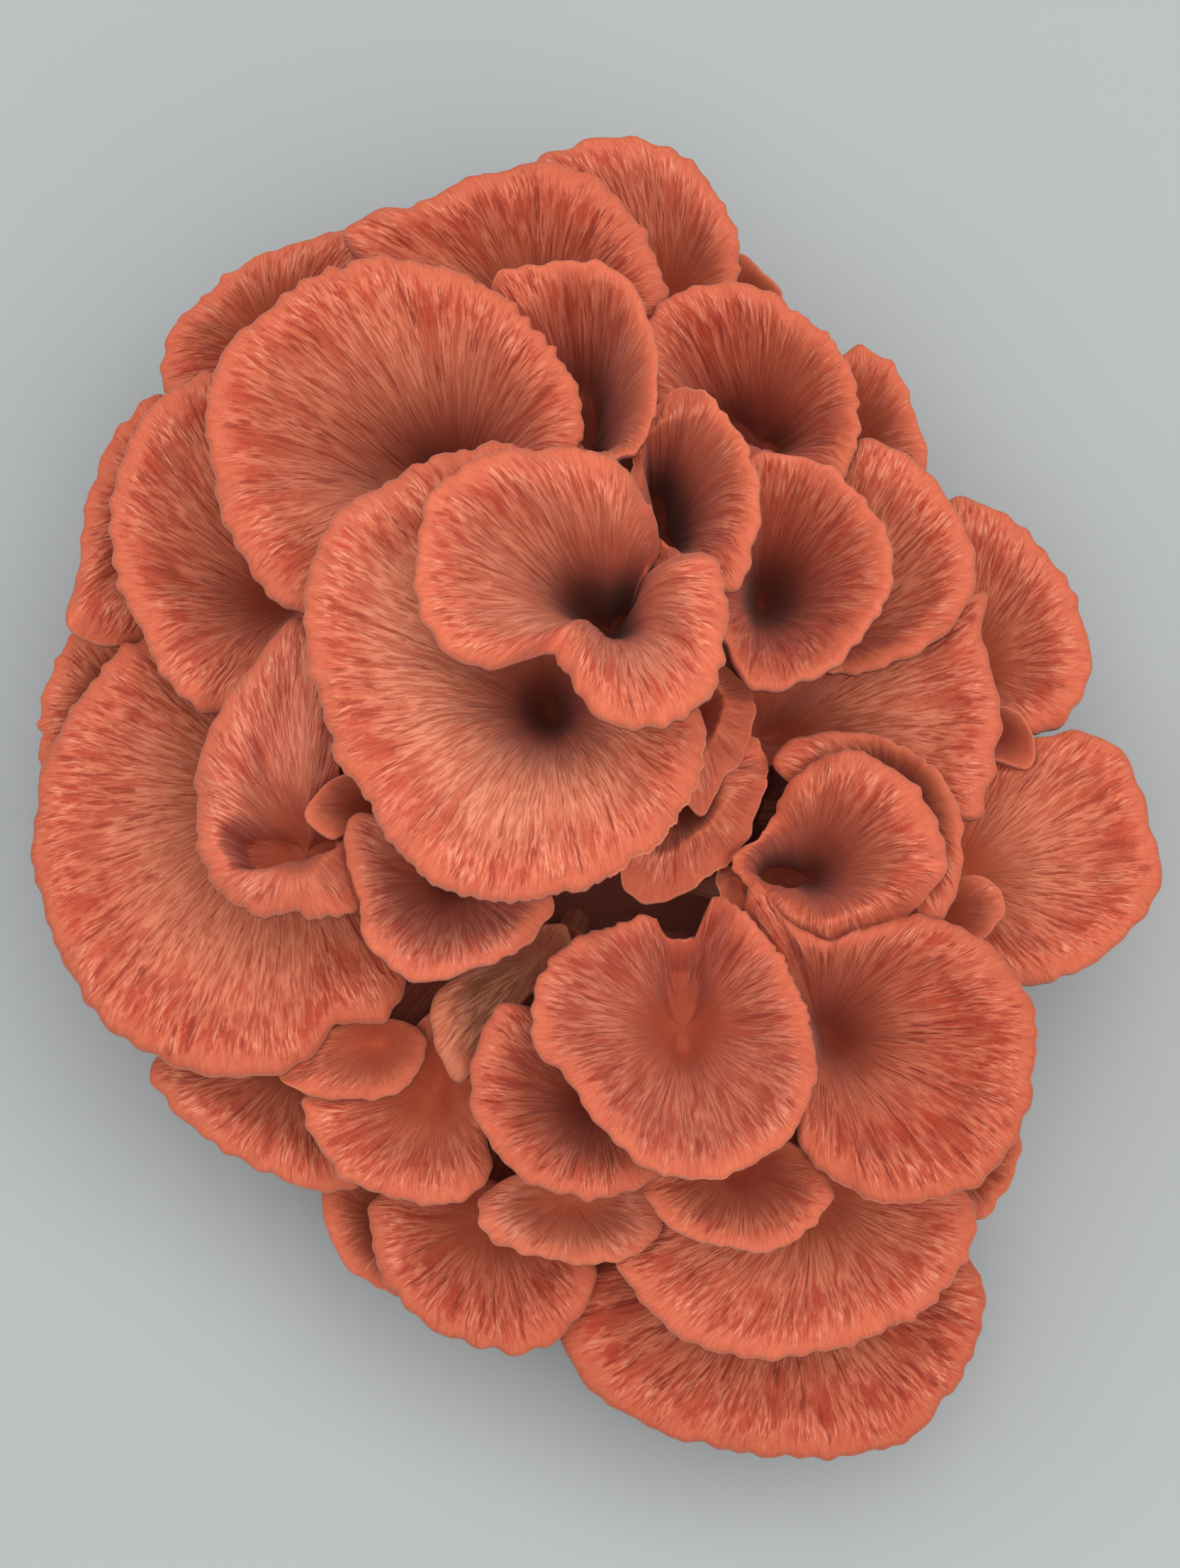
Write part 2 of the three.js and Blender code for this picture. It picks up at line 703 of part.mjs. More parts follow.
// A closed skin over rings of equally many points, between a point at each end, facing out. From the ring
// number turned on, each square is halved the other way, so that an underside follows the top above it.
function skinOver(first, rings, last, turned) {
  const columns = rings[0].length;
  const positions = [first, ...rings.flat(), last].flat();
  const index = [];
  const at = (ring, column) => 1 + ring * columns + (column % columns);
  for (let c = 0; c < columns; c++) {
    index.push(0, at(0, c), at(0, c + 1));
    for (let r = 0; r + 1 < rings.length; r++) {
      if (r < turned) {
        index.push(at(r, c), at(r + 1, c), at(r + 1, c + 1));
        index.push(at(r, c), at(r + 1, c + 1), at(r, c + 1));
      } else {
        index.push(at(r, c), at(r + 1, c), at(r, c + 1));
        index.push(at(r, c + 1), at(r + 1, c), at(r + 1, c + 1));
      }
    }
    index.push(1 + rings.length * columns, at(rings.length - 1, c + 1), at(rings.length - 1, c));
  }
  const geometry = new THREE.BufferGeometry();
  geometry.setAttribute("position", new THREE.Float32BufferAttribute(positions, 3));
  geometry.setIndex(index);
  return geometry;
}

// How finely a mushroom is built, by the size of its cap. top and under: rings from the stem, 0, out to the
// margin, 1, or as a share of the stem within it, below 0; stem: rings from the neck down to the foot.
function finenessOf(cap) {
  if (cap.length > 120) {
    return { columns: 20, top: [-0.55, 0, 0.3, 0.8, 1], under: [1, 0.8, 0.3, 0], stem: [0, 0.5, 1] };
  }
  if (cap.length > 60) {
    return { columns: 16, top: [-0.55, 0, 0.5, 1], under: [1, 0.5, 0], stem: [0, 1] };
  }
  return { columns: 10, top: [0, 0.5, 1], under: [1, 0.5, 0], stem: [0, 1] };
}

// One mushroom in one skin: out over the funnel's rings to the margin, back along the gills to the stem, and
// down the stem. With a clearance it comes out that much fatter, to cut its neighbours with.
function mushroomGeometry(caps, index, foot, clearance) {
  const cap = caps[index];
  const [eyeX, eyeY, eyeZ] = cap.eye;
  const fineness = finenessOf(cap);
  const angles = columnAngles(cap, fineness.columns);
  const margins = angles.map((angle) => marginRadius(cap, angle));
  const spoke = (angle, radius) => [eyeX + radius * Math.cos(angle), eyeY + radius * Math.sin(angle)];
  const topAt = (angle, radius) => pressedTop(caps, index, ...spoke(angle, radius));
  const radiusAt = (out, i) => {
    const inner = Math.min(1.3 * cap.stem, 0.7 * margins[i]);
    return out < 0 ? inner * (1 + out) : THREE.MathUtils.lerp(inner, margins[i], out);
  };
  const rings = [];
  fineness.top.forEach((out) => {
    rings.push(
      angles.map((angle, i) => {
        const radius = radiusAt(out, i);
        const height = topAt(angle, radius) + clearance;
        return [...spoke(angle, radius + (out === 1 ? clearance : 0)), height];
      }),
    );
  });
  fineness.under.forEach((out) => {
    rings.push(
      angles.map((angle, i) => {
        const radius = radiusAt(out, i);
        const top = Math.min(topAt(angle, radius), topAt(angle, radius - WALL));
        const thickness = flesh(radius / margins[i]);
        const groove = i % 2 ? GILL_SHARE * thickness * Math.min(6 * (1 - out), 1) : 0;
        return [...spoke(angle, radius + clearance), top - thickness + groove - clearance];
      }),
    );
  });
  const lowest = Math.min(...rings[rings.length - 1].map((point) => point[2]));
  const neck = Math.min(lowest - 1.5, eyeZ - NECK_DEPTH);
  const end = foot.clone().multiplyScalar(FOOT_DEPTH);
  end.z = Math.min(end.z, neck - 6);
  const lean = Math.hypot(end.x - eyeX, end.y - eyeY);
  const widen = Math.min(Math.hypot(lean, neck - end.z) / (neck - end.z), MOST_LEAN);
  const leanAngle = Math.atan2(end.y - eyeY, end.x - eyeX);
  fineness.stem.forEach((down) => {
    const along = down ** 1.2;
    const radius = (cap.stem + clearance) * (1 - 0.12 * Math.sin(Math.PI * down) + 0.25 * down * down);
    const stretch = THREE.MathUtils.lerp(1, widen, Math.min(3 * down, 1));
    rings.push(
      angles.map((angle) => {
        const u = radius * stretch * Math.cos(angle - leanAngle);
        const v = radius * Math.sin(angle - leanAngle);
        return [
          THREE.MathUtils.lerp(eyeX, end.x, along) + u * Math.cos(leanAngle) - v * Math.sin(leanAngle),
          THREE.MathUtils.lerp(eyeY, end.y, along) + u * Math.sin(leanAngle) + v * Math.cos(leanAngle),
          THREE.MathUtils.lerp(neck, end.z, down),
        ];
      }),
    );
  });
  const middle = [eyeX, eyeY, pressedTop(caps, index, eyeX, eyeY) + clearance];
  return skinOver(middle, rings, [end.x, end.y, end.z], fineness.top.length);
}

// The base: a lumpy dome on a flat cut face, a little narrower where it was cut than just above.
function baseGeometry(clearance) {
  const rings = [];
  for (let r = 1; r <= BASE_ROWS; r++) {
    const slope = (0.5 * Math.PI * r) / BASE_ROWS;
    rings.push(baseRing(Math.sin(slope), BASE_HEIGHT * Math.cos(slope) ** 0.8 + clearance, clearance));
  }
  rings[BASE_ROWS - 1].forEach((point) => {
    point[2] = 7;
  });
  rings.push(baseRing(0.9, -clearance, clearance));
  return skinOver([0, 0, BASE_HEIGHT + clearance], rings, [0, 0, -clearance], rings.length);
}

function baseRing(share, height, clearance) {
  const ring = [];
  for (let i = 0; i < BASE_COLUMNS; i++) {
    const angle = (2 * Math.PI * i) / BASE_COLUMNS;
    const lump = 1 + BASE_LUMP * Math.sin(3 * angle + 1) + 0.6 * BASE_LUMP * Math.sin(7 * angle);
    ring.push([
      (BASE_HALF_X * share * lump + clearance) * Math.cos(angle),
      (BASE_HALF_Y * share * lump + clearance) * Math.sin(angle),
      height,
    ]);
  }
  return ring;
}

// A closed geometry as a solid for joins and cuts, and back.
function solidOf(geometry) {
  const merged = mergeVertices(geometry, SPECK);
  const mesh = new wasm.Mesh({
    numProp: 3,
    vertProperties: merged.attributes.position.array,
    triVerts: new Uint32Array(merged.index.array),
  });
  return new wasm.Manifold(mesh);
}

function geometryOf(solid) {
  const mesh = solid.getMesh();
  const geometry = new THREE.BufferGeometry();
  geometry.setAttribute("position", new THREE.BufferAttribute(mesh.vertProperties, 3));
  geometry.setIndex(new THREE.BufferAttribute(mesh.triVerts, 1));
  return geometry;
}

// What is left of a cut body without its scraps and without the specks along its cuts.
function cleanBody(solid) {
  const larger = (best, body) => (body.volume() > best.volume() ? body : best);
  const largest = (whole) => whole.decompose().reduce(larger);
  return largest(solidOf(geometryOf(largest(solid)))).simplify(SLIVER);
}

function boxesMeet(a, b) {
  const first = a.boundingBox();
  const second = b.boundingBox();
  return [0, 1, 2].every((k) => first.min[k] < second.max[k] && second.min[k] < first.max[k]);
}

function namedMesh(name, solid, look) {
  const mesh = new THREE.Mesh(geometryOf(solid), new THREE.MeshStandardMaterial(look));
  mesh.name = name;
  return mesh;
}

const cluster = new THREE.Group();
const caps = MUSHROOMS.map(outlineOf);
const feet = placeFeet(caps);
const base = solidOf(baseGeometry(0));
const cutters = [solidOf(baseGeometry(CUT_GAP))];
cluster.add(namedMesh("butt", base, BUTT));
caps.forEach((cap, index) => {
  let body = solidOf(mushroomGeometry(caps, index, feet[index], 0));
  cutters.filter((cutter) => boxesMeet(cutter, body)).forEach((cutter) => {
    body = body.subtract(cutter);
  });
  body = cleanBody(body);
  cluster.add(namedMesh(cap.name, body, SKIN));
  const fat = solidOf(mushroomGeometry(caps, index, feet[index], CUT_GAP));
  cutters.push(fat.add(body).add(body.translate([0, 0, -CUT_GAP])));
});

export default cluster;
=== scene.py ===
# The look of a cluster of pink oyster mushrooms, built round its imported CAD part.
# Shapes are worked out in millimetres, in the part's own frame (+Z up, origin on the cut face), and stored in metres.
import math

import bpy
import numpy as np
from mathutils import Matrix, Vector


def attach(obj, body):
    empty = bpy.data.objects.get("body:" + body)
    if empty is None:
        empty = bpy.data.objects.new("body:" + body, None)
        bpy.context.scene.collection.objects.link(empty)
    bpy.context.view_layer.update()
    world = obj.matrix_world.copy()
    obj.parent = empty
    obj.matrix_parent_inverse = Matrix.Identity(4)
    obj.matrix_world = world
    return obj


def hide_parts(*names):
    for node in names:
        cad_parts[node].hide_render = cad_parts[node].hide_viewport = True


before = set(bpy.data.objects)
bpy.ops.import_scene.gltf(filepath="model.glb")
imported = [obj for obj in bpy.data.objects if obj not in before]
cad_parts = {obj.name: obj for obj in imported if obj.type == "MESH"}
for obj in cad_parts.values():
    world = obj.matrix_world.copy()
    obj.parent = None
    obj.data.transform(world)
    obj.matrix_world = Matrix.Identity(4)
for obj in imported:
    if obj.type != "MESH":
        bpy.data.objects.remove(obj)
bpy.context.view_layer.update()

MM = 0.001

# The camera looks almost straight down; the numbers are in millimetres and degrees.
CAMERA_TARGET = (0, 0, 62)
CAMERA_DISTANCE = 560
CAMERA_ELEVATION = 82
CAMERA_SENSOR = 36  # along the picture's long side
CAMERA_LENS = 80.66
FLOOR_SIZE = 3000
KEY_POWER = 5.6
FILL_POWER = 4.6
SKY_STRENGTH = 0.43

# The flesh of a cap, from its thin margin to its middle.
MARGIN_THICKNESS = 1.8
MIDDLE_THICKNESS = 4.8
WALL = 1  # least thickness of a steep funnel, measured level
NECK_DEPTH = 4  # a stem leans only from this far below the bottom of its funnel
GILL_SHARE = 0.45
RIM_WAVE = 0.2
RIM_FLUTTER = 0.7
RIM_WAVE_LENGTH = 11
RIM_FLUTTER_LENGTH = 17
RIM_LIP = 1.7
RIM_LIP_WIDTH = 6
THROAT_SHARE = 0.7
SLIT_SHARPNESS = 6  # how narrow a funnel's slit is
SLIT_REACH = 0.6  # how much of the way to the margin it may take
DISH_SHARE = 0.5
SLENDER_MARGIN = 15  # a margin nearer to the eye than this gets smaller waves and a lower lip

# Where caps lie over each other the lower one is pressed down, clear of the one above.
PRESS_GAP = 1.4
PRESS_SOFTNESS = 0.8
OPEN_SLOPE = 1.3
FAR_ABOVE = 6  # a cap whose room begins this much higher doesn't press at all

# The fused base and the feet of the stems on it.
BASE_HALF_X = 41
BASE_HALF_Y = 44
BASE_HEIGHT = 46
BASE_LUMP = 0.05
BASE_CUT_LEVEL = 7
FOOT_SPREAD = 14
FOOT_ROUNDS = 80
FOOT_DEPTH = 0.8
MOST_LEAN = 2.2

OUTLINE_SAMPLES = 720
ROUNDING = 0.5  # share of the way between two rim points over which the margin is evened, twice
DIRECTIONS = 360
TURN = 2 * math.pi

# How finely the skins are woven.
COLUMN_STEP = 0.72  # between two columns along the margin
TOP_ROWS = 36
UNDER_ROWS = [1, 0.97, 0.92, 0.84, 0.74, 0.62, 0.5, 0.38, 0.27, 0.17, 0.08, 0]
NECK_ROWS = [0.25, 0.5, 0.75, 1]
STEM_ROWS = [0.12, 0.26, 0.42, 0.6, 0.8, 1]

# Small things that only the skin shows.
BUMP_LENGTHS = (4.6, 2.9)  # of the small uneven bumps along a margin
BUMP_SIZES = (0.32, 0.2)
FOLD_LENGTH = 7.5  # shallow radial folds that run in from the margin
FOLD_DEPTH = 0.4
RIDGE_LENGTH = 2.2  # fine radial ridges of the silky skin
RIDGE_DEPTH = 0.13

# Each mushroom, from the crown down, so that a cap comes after every cap that lies over it.
# eye: the bottom of the funnel; level: the margin's height nearest to the eye and furthest from it; depth: how
# quickly the funnel opens there; roll: how far the inrolled margin drops; stem: its radius; rim: the margin in plan.
MUSHROOMS = [
    ("crown_funnel", (3, 25, 60), (98, 114), (12, 2.2), (2.6, 2.6), 6,
     [(-24, 15), (-25, 31), (-20, 40), (-2, 44), (4, 42), (8, 38), (11, 33), (8, 28), (13, 30), (17, 29),
      (20, 24), (20, 15), (17, 5), (7, 1), (1, 3.5), (-3, 9), (-5.5, 13.5), (-8, 13), (-15, 10)]),
    ("crown_collar", (-6, 12, 56), (80, 100), (7, 4.5), (2.6, 2.6), 7,
     [(-9, 46.5), (-17, 47), (-29, 42), (-38, 36), (-42, 28), (-43, 17), (-41, 9), (-37, -3), (-34, -6),
      (-29, -15), (-19, -22), (-2, -21), (11, -13), (13, -10), (17, -2), (17, 7), (12, 15), (7, 24), (4, 33),
      (-2, 41)]),
    ("upper_left_fan", (-22, 51, 50), (84, 90), (4, 2.8), (2.6, 2.6), 6,
     [(-59, 50), (-58, 61), (-52, 69), (-36, 79), (-26, 78), (-16, 75), (-3, 61), (-1, 51), (-5, 47),
      (-15, 44), (-23, 43), (-38, 24), (-46, 23), (-55, 34)]),
    ("upper_middle_funnel", (0, 57, 52), (88, 88), (3, 2.4), (2.4, 2.4), 5.5,
     [(-16, 76), (-8, 78), (3, 78), (10, 68), (8, 48), (-4, 48), (-5, 53), (-10, 59)]),
    ("right_crescent", (12, 43, 52), (96, 94), (3, 2.6), (2.6, 2.6), 5,
     [(12, 58), (18, 56), (23, 49), (26, 41), (23, 26), (18, 25), (13, 29), (8, 32), (7, 51)]),
    ("right_deep_funnel", (28, 32, 46), (88, 88), (3, 1.7), (3.4, 3.4), 5.5,
     [(25, 48), (35, 47), (44, 39), (47, 29), (37, 14), (25, 11), (23, 14), (19, 21), (19, 35)]),
    ("upper_right_funnel", (28, 60, 44), (74, 78), (3, 2.4), (2.4, 2.4), 5.5,
     [(10, 74), (19, 78), (28, 77), (42, 64), (40, 46), (35, 45), (22, 50), (14, 54), (9, 62)]),
    ("low_centre_fan", (15, -38, 51), (57, 80), (2.2, 1.9), (2, 2), 7,
     [(-7, -30), (0, -25), (7, -22.5), (10.5, -22), (11.5, -24.5), (15, -24.8), (18.3, -24.3), (18, -19.5),
      (20.5, -18.8), (24, -22), (29, -27), (35, -43), (32, -55), (23, -62), (12, -63), (3, -57), (-5, -46),
      (-9, -43)]),
    ("low_right_fan", (38, -38, 42), (70, 74), (3, 2.4), (2.8, 2.8), 6.5,
     [(26, -16), (29, -21), (37, -26), (40, -25), (51, -22), (60, -25), (68, -34), (69, -46), (66, -56),
      (61, -63), (47, -67), (36, -62), (32, -56), (33, -42), (26, -27), (24, -21)]),
    ("right_low_funnel", (36, -12.5, 38), (56, 76), (3, 4.5), (2.6, 2.6), 7.5,
     [(22, -12), (27, -9), (30.5, -2), (35, 2.5), (39.5, 4), (46, 2), (53, -5), (55.5, -14), (50, -22),
      (37, -28), (29, -21), (24, -16)]),
    ("right_ring", (48, -2, 46), (64, 68), (3, 2.4), (2.4, 2.4), 5,
     [(28, 3), (34, 7), (43, 8), (54, 3), (59, -6), (56, -22), (50, -23), (42, -14), (38, -5)]),
    ("right_pale_fan", (38, 27, 44), (60, 70), (3, 2), (2.4, 2.4), 5.5,
     [(43, 55), (50, 52), (57, 46), (61, 36), (60, 27), (46, 18), (34, 19), (32, 23), (40, 48)]),
    ("crown_leaf_right", (15, 10, 62), (82, 87), (3, 2), (2.2, 2.2), 4.5,
     [(26, 12), (24, 3), (21, -1), (17, -7), (12, 0), (10, 9), (18, 18)]),
    ("crown_leaf_low", (14, -1, 56), (76, 80), (3, 2), (2.2, 2.2), 4.5,
     [(28, 4), (27, -4), (23, -12), (15, -18), (7, -20), (4, -14), (8, -3), (14, 5), (24, 8)]),
    ("right_steep_fan", (29, 11, 38), (54, 60), (3, 2), (2.4, 2.4), 5.5,
     [(64, 32), (63, 26), (66, 14), (65, 3), (61, -6), (44, 2), (31, 4), (24, 5), (24, 15), (40, 21), (49, 27)]),
    ("left_middle_cup", (-22, -14, 52), (74, 82), (3, 2.2), (2.4, 2.4), 5.5,
     [(-37, -7), (-37, -17), (-35, -22), (-35, -26), (-28, -33), (-20, -32), (-12, -29), (-5, -21), (-12, -12),
      (-20, -9), (-30, -8)]),
    ("left_small_leaf", (-33, -4, 64), (75, 77), (2, 2), (1.2, 1.2), 2.5,
     [(-44, -8), (-43, -4), (-39, -1), (-34, 1), (-30, -3), (-32, -8), (-37, -9), (-40, -11)]),
    ("left_lipped_funnel", (-45, -11, 61), (80, 82), (14, 1.5), (7, 2.4), 5.5,
     [(-45, 24), (-54, 14), (-60, 4), (-61, -7), (-59, -17), (-51, -23), (-45, -22), (-44, -23), (-36, -22),
      (-36, -17), (-39, -2), (-39, 9)]),
    ("centre_bud", (23, -16, 62), (70, 70), (2, 2), (1.5, 1.5), 3,
     [(20, -14), (23, -13), (25, -18), (24, -21), (21, -20)]),
    ("left_upper_fan", (-49, 32, 46), (66, 74), (3, 2.2), (2.4, 2.4), 6,
     [(-59, 65), (-66, 62), (-71, 57), (-75, 48), (-76, 36), (-71, 23), (-63, 11), (-56, 11), (-52, 18),
      (-42, 28), (-51, 45)]),
    ("top_wide_fan", (-8, 77, 50), (68, 76), (3, 2.2), (2.4, 2.4), 6,
     [(-40, 86), (-33, 91), (-28, 92), (-18, 97), (-9, 99), (1, 97), (11, 83), (12, 73), (4, 70), (-4, 68),
      (-20, 70), (-32, 79)]),
    ("topmost_fan", (13, 84, 42), (56, 64), (3, 2), (2.4, 2.4), 5.5,
     [(-10, 102), (-4, 105), (3, 107), (11, 106), (18, 102), (24, 92), (24, 83), (14, 76), (6, 83)]),
    ("low_left_cup", (1, -50, 46), (64, 72), (3, 2.2), (2.4, 2.4), 5.5,
     [(-13, -35), (-17, -41), (-19, -49), (-13, -61), (-1, -66), (10, -63), (11, -59), (6, -46)]),
    ("low_stalked_fan", (-8, -27, 54), (58, 65), (2.4, 1.5), (2, 2), 4.5,
     [(-25, -34), (-25, -39), (-24, -43), (-20, -48), (-16, -41), (-7, -31), (-3, -27), (-4, -22), (-9, -23),
      (-17, -28)]),
    ("left_largest_fan", (-50, 1, 38), (54, 61), (3, 2.4), (3, 3), 7,
     [(-72, 25), (-80, 18), (-86, 8), (-89, -3), (-89, -13), (-84, -28), (-78, -37), (-70, -43), (-56, -47),
      (-45, -44), (-40, -38), (-34, -38), (-31, -36), (-29, -27), (-38, -13), (-41, 5), (-50, 15), (-62, 24)]),
    ("right_small_leaf", (56, -20, 48), (56, 58), (2, 2), (1.4, 1.4), 3,
     [(58, -15), (62, -14), (66, -17), (66, -21), (62, -25), (56, -26), (52, -23), (53, -17)]),
    ("right_leaf_tip", (66, 10, 46), (54, 56), (2, 2), (1.2, 1.2), 2.5,
     [(62, 11), (66, 14), (70, 12), (72, 7), (71, 3), (68, 4), (64, 6)]),
    ("right_outer_fan", (60, -12, 37), (48, 54), (3, 2), (2.4, 2.4), 5.5,
     [(77, 10), (83, 9), (88, 4), (92, -12), (91, -18), (87, -23), (77, -30), (67, -31), (58, -18), (56, -5),
      (62, 4)]),
    ("right_upper_fan", (62, 23, 38), (48, 54), (3, 2), (2.4, 2.4), 5.5,
     [(59, 49), (66, 47), (72, 43), (79, 33), (82, 22), (77, 11), (68, 11), (58, 17), (57, 42)]),
    ("upper_right_shelf", (41, 58, 44), (54, 60), (3, 1.8), (2.4, 2.4), 4.5,
     [(43, 73), (49, 70), (52, 64), (55, 53), (50, 49), (37, 52), (38, 65)]),
    ("top_right_tip", (25, 81, 40), (50, 56), (3, 2), (2, 2), 3.5,
     [(24, 90), (29, 86), (32, 82), (31, 78), (21, 74), (16, 79)]),
    ("upper_left_shelf", (-51, 74, 46), (54, 62), (3, 1.8), (2.4, 2.4), 5.5,
     [(-38, 91), (-51, 89), (-59, 85), (-66, 78), (-70, 70), (-68, 63), (-58, 62), (-44, 67), (-36, 76)]),
    ("left_edge_band", (-64, 47, 46), (56, 63), (3, 1.8), (2.4, 2.4), 5,
     [(-70, 65), (-79, 55), (-82, 43), (-83, 32), (-84, 25), (-78, 23), (-69, 26), (-59, 31), (-57, 53),
      (-62, 64)]),
    ("left_outer_band", (-75, 15, 36), (44, 50), (3, 1.8), (2.4, 2.4), 5,
     [(-86, 26), (-90, 16), (-90, 3), (-87, -6), (-78, -4), (-68, 5), (-67, 17), (-74, 26), (-81, 29)]),
    ("low_left_curl", (-34, -40, 47), (50, 60), (2.6, 1.8), (2.2, 2.2), 4.5,
     [(-50, -44), (-46, -49), (-37, -50), (-29, -48), (-26, -40), (-30, -37), (-38, -37), (-45, -40)]),
    ("low_left_tongue", (-25, -48, 42), (49, 56), (3, 1.8), (2.4, 2.4), 5,
     [(-46, -50), (-43, -58), (-38, -63), (-29, -66), (-20, -66), (-16, -62), (-17, -52), (-18, -42),
      (-23, -34), (-30, -40), (-36, -45), (-41, -47)]),
    ("bottom_middle_cup", (24, -60, 46), (57, 66), (3, 1.8), (2.4, 2.4), 5,
     [(8, -64), (11, -69), (16, -72), (28, -74), (35, -70), (38, -63), (28, -55), (14, -58)]),
    ("bottom_small_cap", (-3, -65, 44), (52, 54), (3, 2), (2.2, 2.2), 4.5,
     [(-18, -66), (-17, -71), (-11, -74), (1, -76), (8, -74), (12, -68), (8, -61), (-8, -60)]),
    ("bottom_right_shelf", (36, -64, 38), (46, 53), (3, 1.8), (2.4, 2.4), 5.5,
     [(4, -72), (8, -82), (20, -90), (36, -90), (52, -84), (59, -77), (62, -66), (50, -60), (36, -58),
      (18, -64)]),
    ("bottom_streaked_cap", (-16, -68, 32), (39, 45), (3, 1.8), (2.4, 2.4), 5.5,
     [(-36, -66), (-35, -73), (-33, -79), (-24, -87), (-12, -90), (-5, -88), (0, -81), (1, -75), (-5, -67),
      (-16, -62), (-28, -62)]),
    ("left_low_shelf", (-47, -41, 34), (40, 45), (3, 1.8), (2.4, 2.4), 5,
     [(-72, -43), (-66, -53), (-60, -57), (-51, -62), (-38, -64), (-34, -56), (-38, -42), (-46, -36),
      (-60, -38)]),
    ("bottom_left_edge", (-31, -68, 26), (32, 36), (3, 2), (2, 2), 4.5,
     [(-44, -64), (-43, -71), (-39, -77), (-31, -81), (-25, -79), (-23, -68), (-28, -61), (-41, -60)]),
    ("right_low_edge", (58, -57, 34), (41, 46), (3, 2), (2, 2), 4.5,
     [(70, -53), (69, -60), (66, -66), (63, -69), (53, -64), (52, -55), (57, -49), (65, -48)]),
    ("bottom_largest_shelf", (34, -74, 27), (34, 39), (3, 1.8), (2.6, 2.6), 6.5,
     [(-5, -88), (-2, -93), (1, -97), (12, -103), (24, -106), (36, -107), (50, -105), (55, -101), (61, -93),
      (64, -86), (63, -75), (50, -70), (34, -68), (8, -72), (-4, -80)]),
    ("centre_pin", (-4, -24, 56), (62, 62), (2, 2), (1, 1), 2.5,
     [(-7, -24), (-4, -22), (-1, -24), (-1, -27), (-4, -28), (-7, -27)]),
]

# How a cap's skin differs from its neighbours': (paler and tanner, pinker, darker streaks and darker overall), each
# from 0 to 1.
# The darkening overall is partly the cap's own tone and partly painted shade, strongest on the low caps that lie under
# others.
USUAL_TONE = (0.25, 0.2, 0.35)
TONES = {
    "crown_funnel": (1.0, 0.1, 0.3),
    "crown_collar": (0.9, 0.15, 0.3),
    "upper_left_fan": (0.6, 0.0, 0.5),
    "upper_middle_funnel": (0.2, 0.0, 0.4),
    "right_crescent": (0.3, 0.0, 0.3),
    "right_deep_funnel": (0.1, 0.0, 0.4),
    "upper_right_funnel": (0.1, 0.0, 0.5),
    "low_centre_fan": (0.5, 0.6, 0.5),
    "low_right_fan": (0.0, 0.0, 1.0),
    "right_low_funnel": (0.2, 0.1, 0.4),
    "right_pale_fan": (0.8, 0.1, 0.2),
    "right_steep_fan": (0.5, 0.2, 0.4),
    "left_middle_cup": (0.2, 0.7, 0.3),
    "left_lipped_funnel": (0.3, 0.6, 0.3),
    "left_small_leaf": (0.3, 0.8, 0.2),
    "low_stalked_fan": (1.9, 0.3, 0.3),
    "left_largest_fan": (0.35, 0.1, 0.6),
    "right_outer_fan": (0.45, 0.0, 0.4),
    "low_left_cup": (0.2, 0.2, 0.9),
    "top_wide_fan": (0.15, 0.0, 0.7),
    "bottom_small_cap": (1.3, 1.0, 0.2),
    "bottom_streaked_cap": (0.1, 0.2, 1.0),
    "bottom_largest_shelf": (0.2, 0.1, 1.0),
}


# Funnels whose bottom is a slit: its direction in degrees, how far it reaches that way and the other way, and how
# much the margin dips at its end.
SLITS = {
    "crown_funnel": (42, 4, 0, 16),
    "upper_left_fan": (175, 9, 4, 0),
    "upper_middle_funnel": (100, 9, 3, 0),
    "right_crescent": (104, 6, 3, 0),
    "upper_right_funnel": (155, 7, 3, 0),
    "low_centre_fan": (90, 10, 3, 6),
    "right_low_funnel": (180, 8, 0, 3),
    "left_lipped_funnel": (187, 11, 6, 0),
}


def lerp(a, b, share):
    return a + (b - a) * share


def smooth(value):
    value = np.clip(value, 0, 1)
    return value * value * (3 - 2 * value)


class Cap:
    """One mushroom's numbers, with its margin as distances from the eye by direction."""

    def __init__(self, row, index):
        self.name, self.eye, self.level, self.depth, self.roll, self.stem, rim = row
        self.phase = index
        curve = closed_curve(rim) - np.array(self.eye[:2])
        distances = np.hypot(curve[:, 0], curve[:, 1])
        self.around = np.arctan2(curve[:, 1], curve[:, 0])
        self.steps = np.hypot(*(np.roll(curve, -1, 0) - curve).T)
        self.length = self.steps.sum()
        self.radii = np.zeros(DIRECTIONS)
        for i in range(OUTLINE_SAMPLES):
            k = (i + 1) % OUTLINE_SAMPLES
            start = self.around[i] / TURN * DIRECTIONS
            end = start + turn_between(self.around[i], self.around[k]) / TURN * DIRECTIONS
            for n in range(math.ceil(min(start, end)), math.floor(max(start, end)) + 1):
                share = 0 if end == start else (n - start) / (end - start)
                radius = lerp(distances[i], distances[k], share)
                self.radii[n % DIRECTIONS] = max(self.radii[n % DIRECTIONS], radius)
        around = np.arange(DIRECTIONS) * TURN / DIRECTIONS
        logs = np.log(self.radii)
        waves = [np.cos(around), np.sin(around), np.cos(2 * around), np.sin(2 * around)]
        self.evened = [logs.mean()] + [2 * (logs * wave).mean() for wave in waves]
        self.furthest = self.radii.max()
        self.waves = round(self.length / RIM_WAVE_LENGTH)
        self.flutters = round(self.length / RIM_FLUTTER_LENGTH)


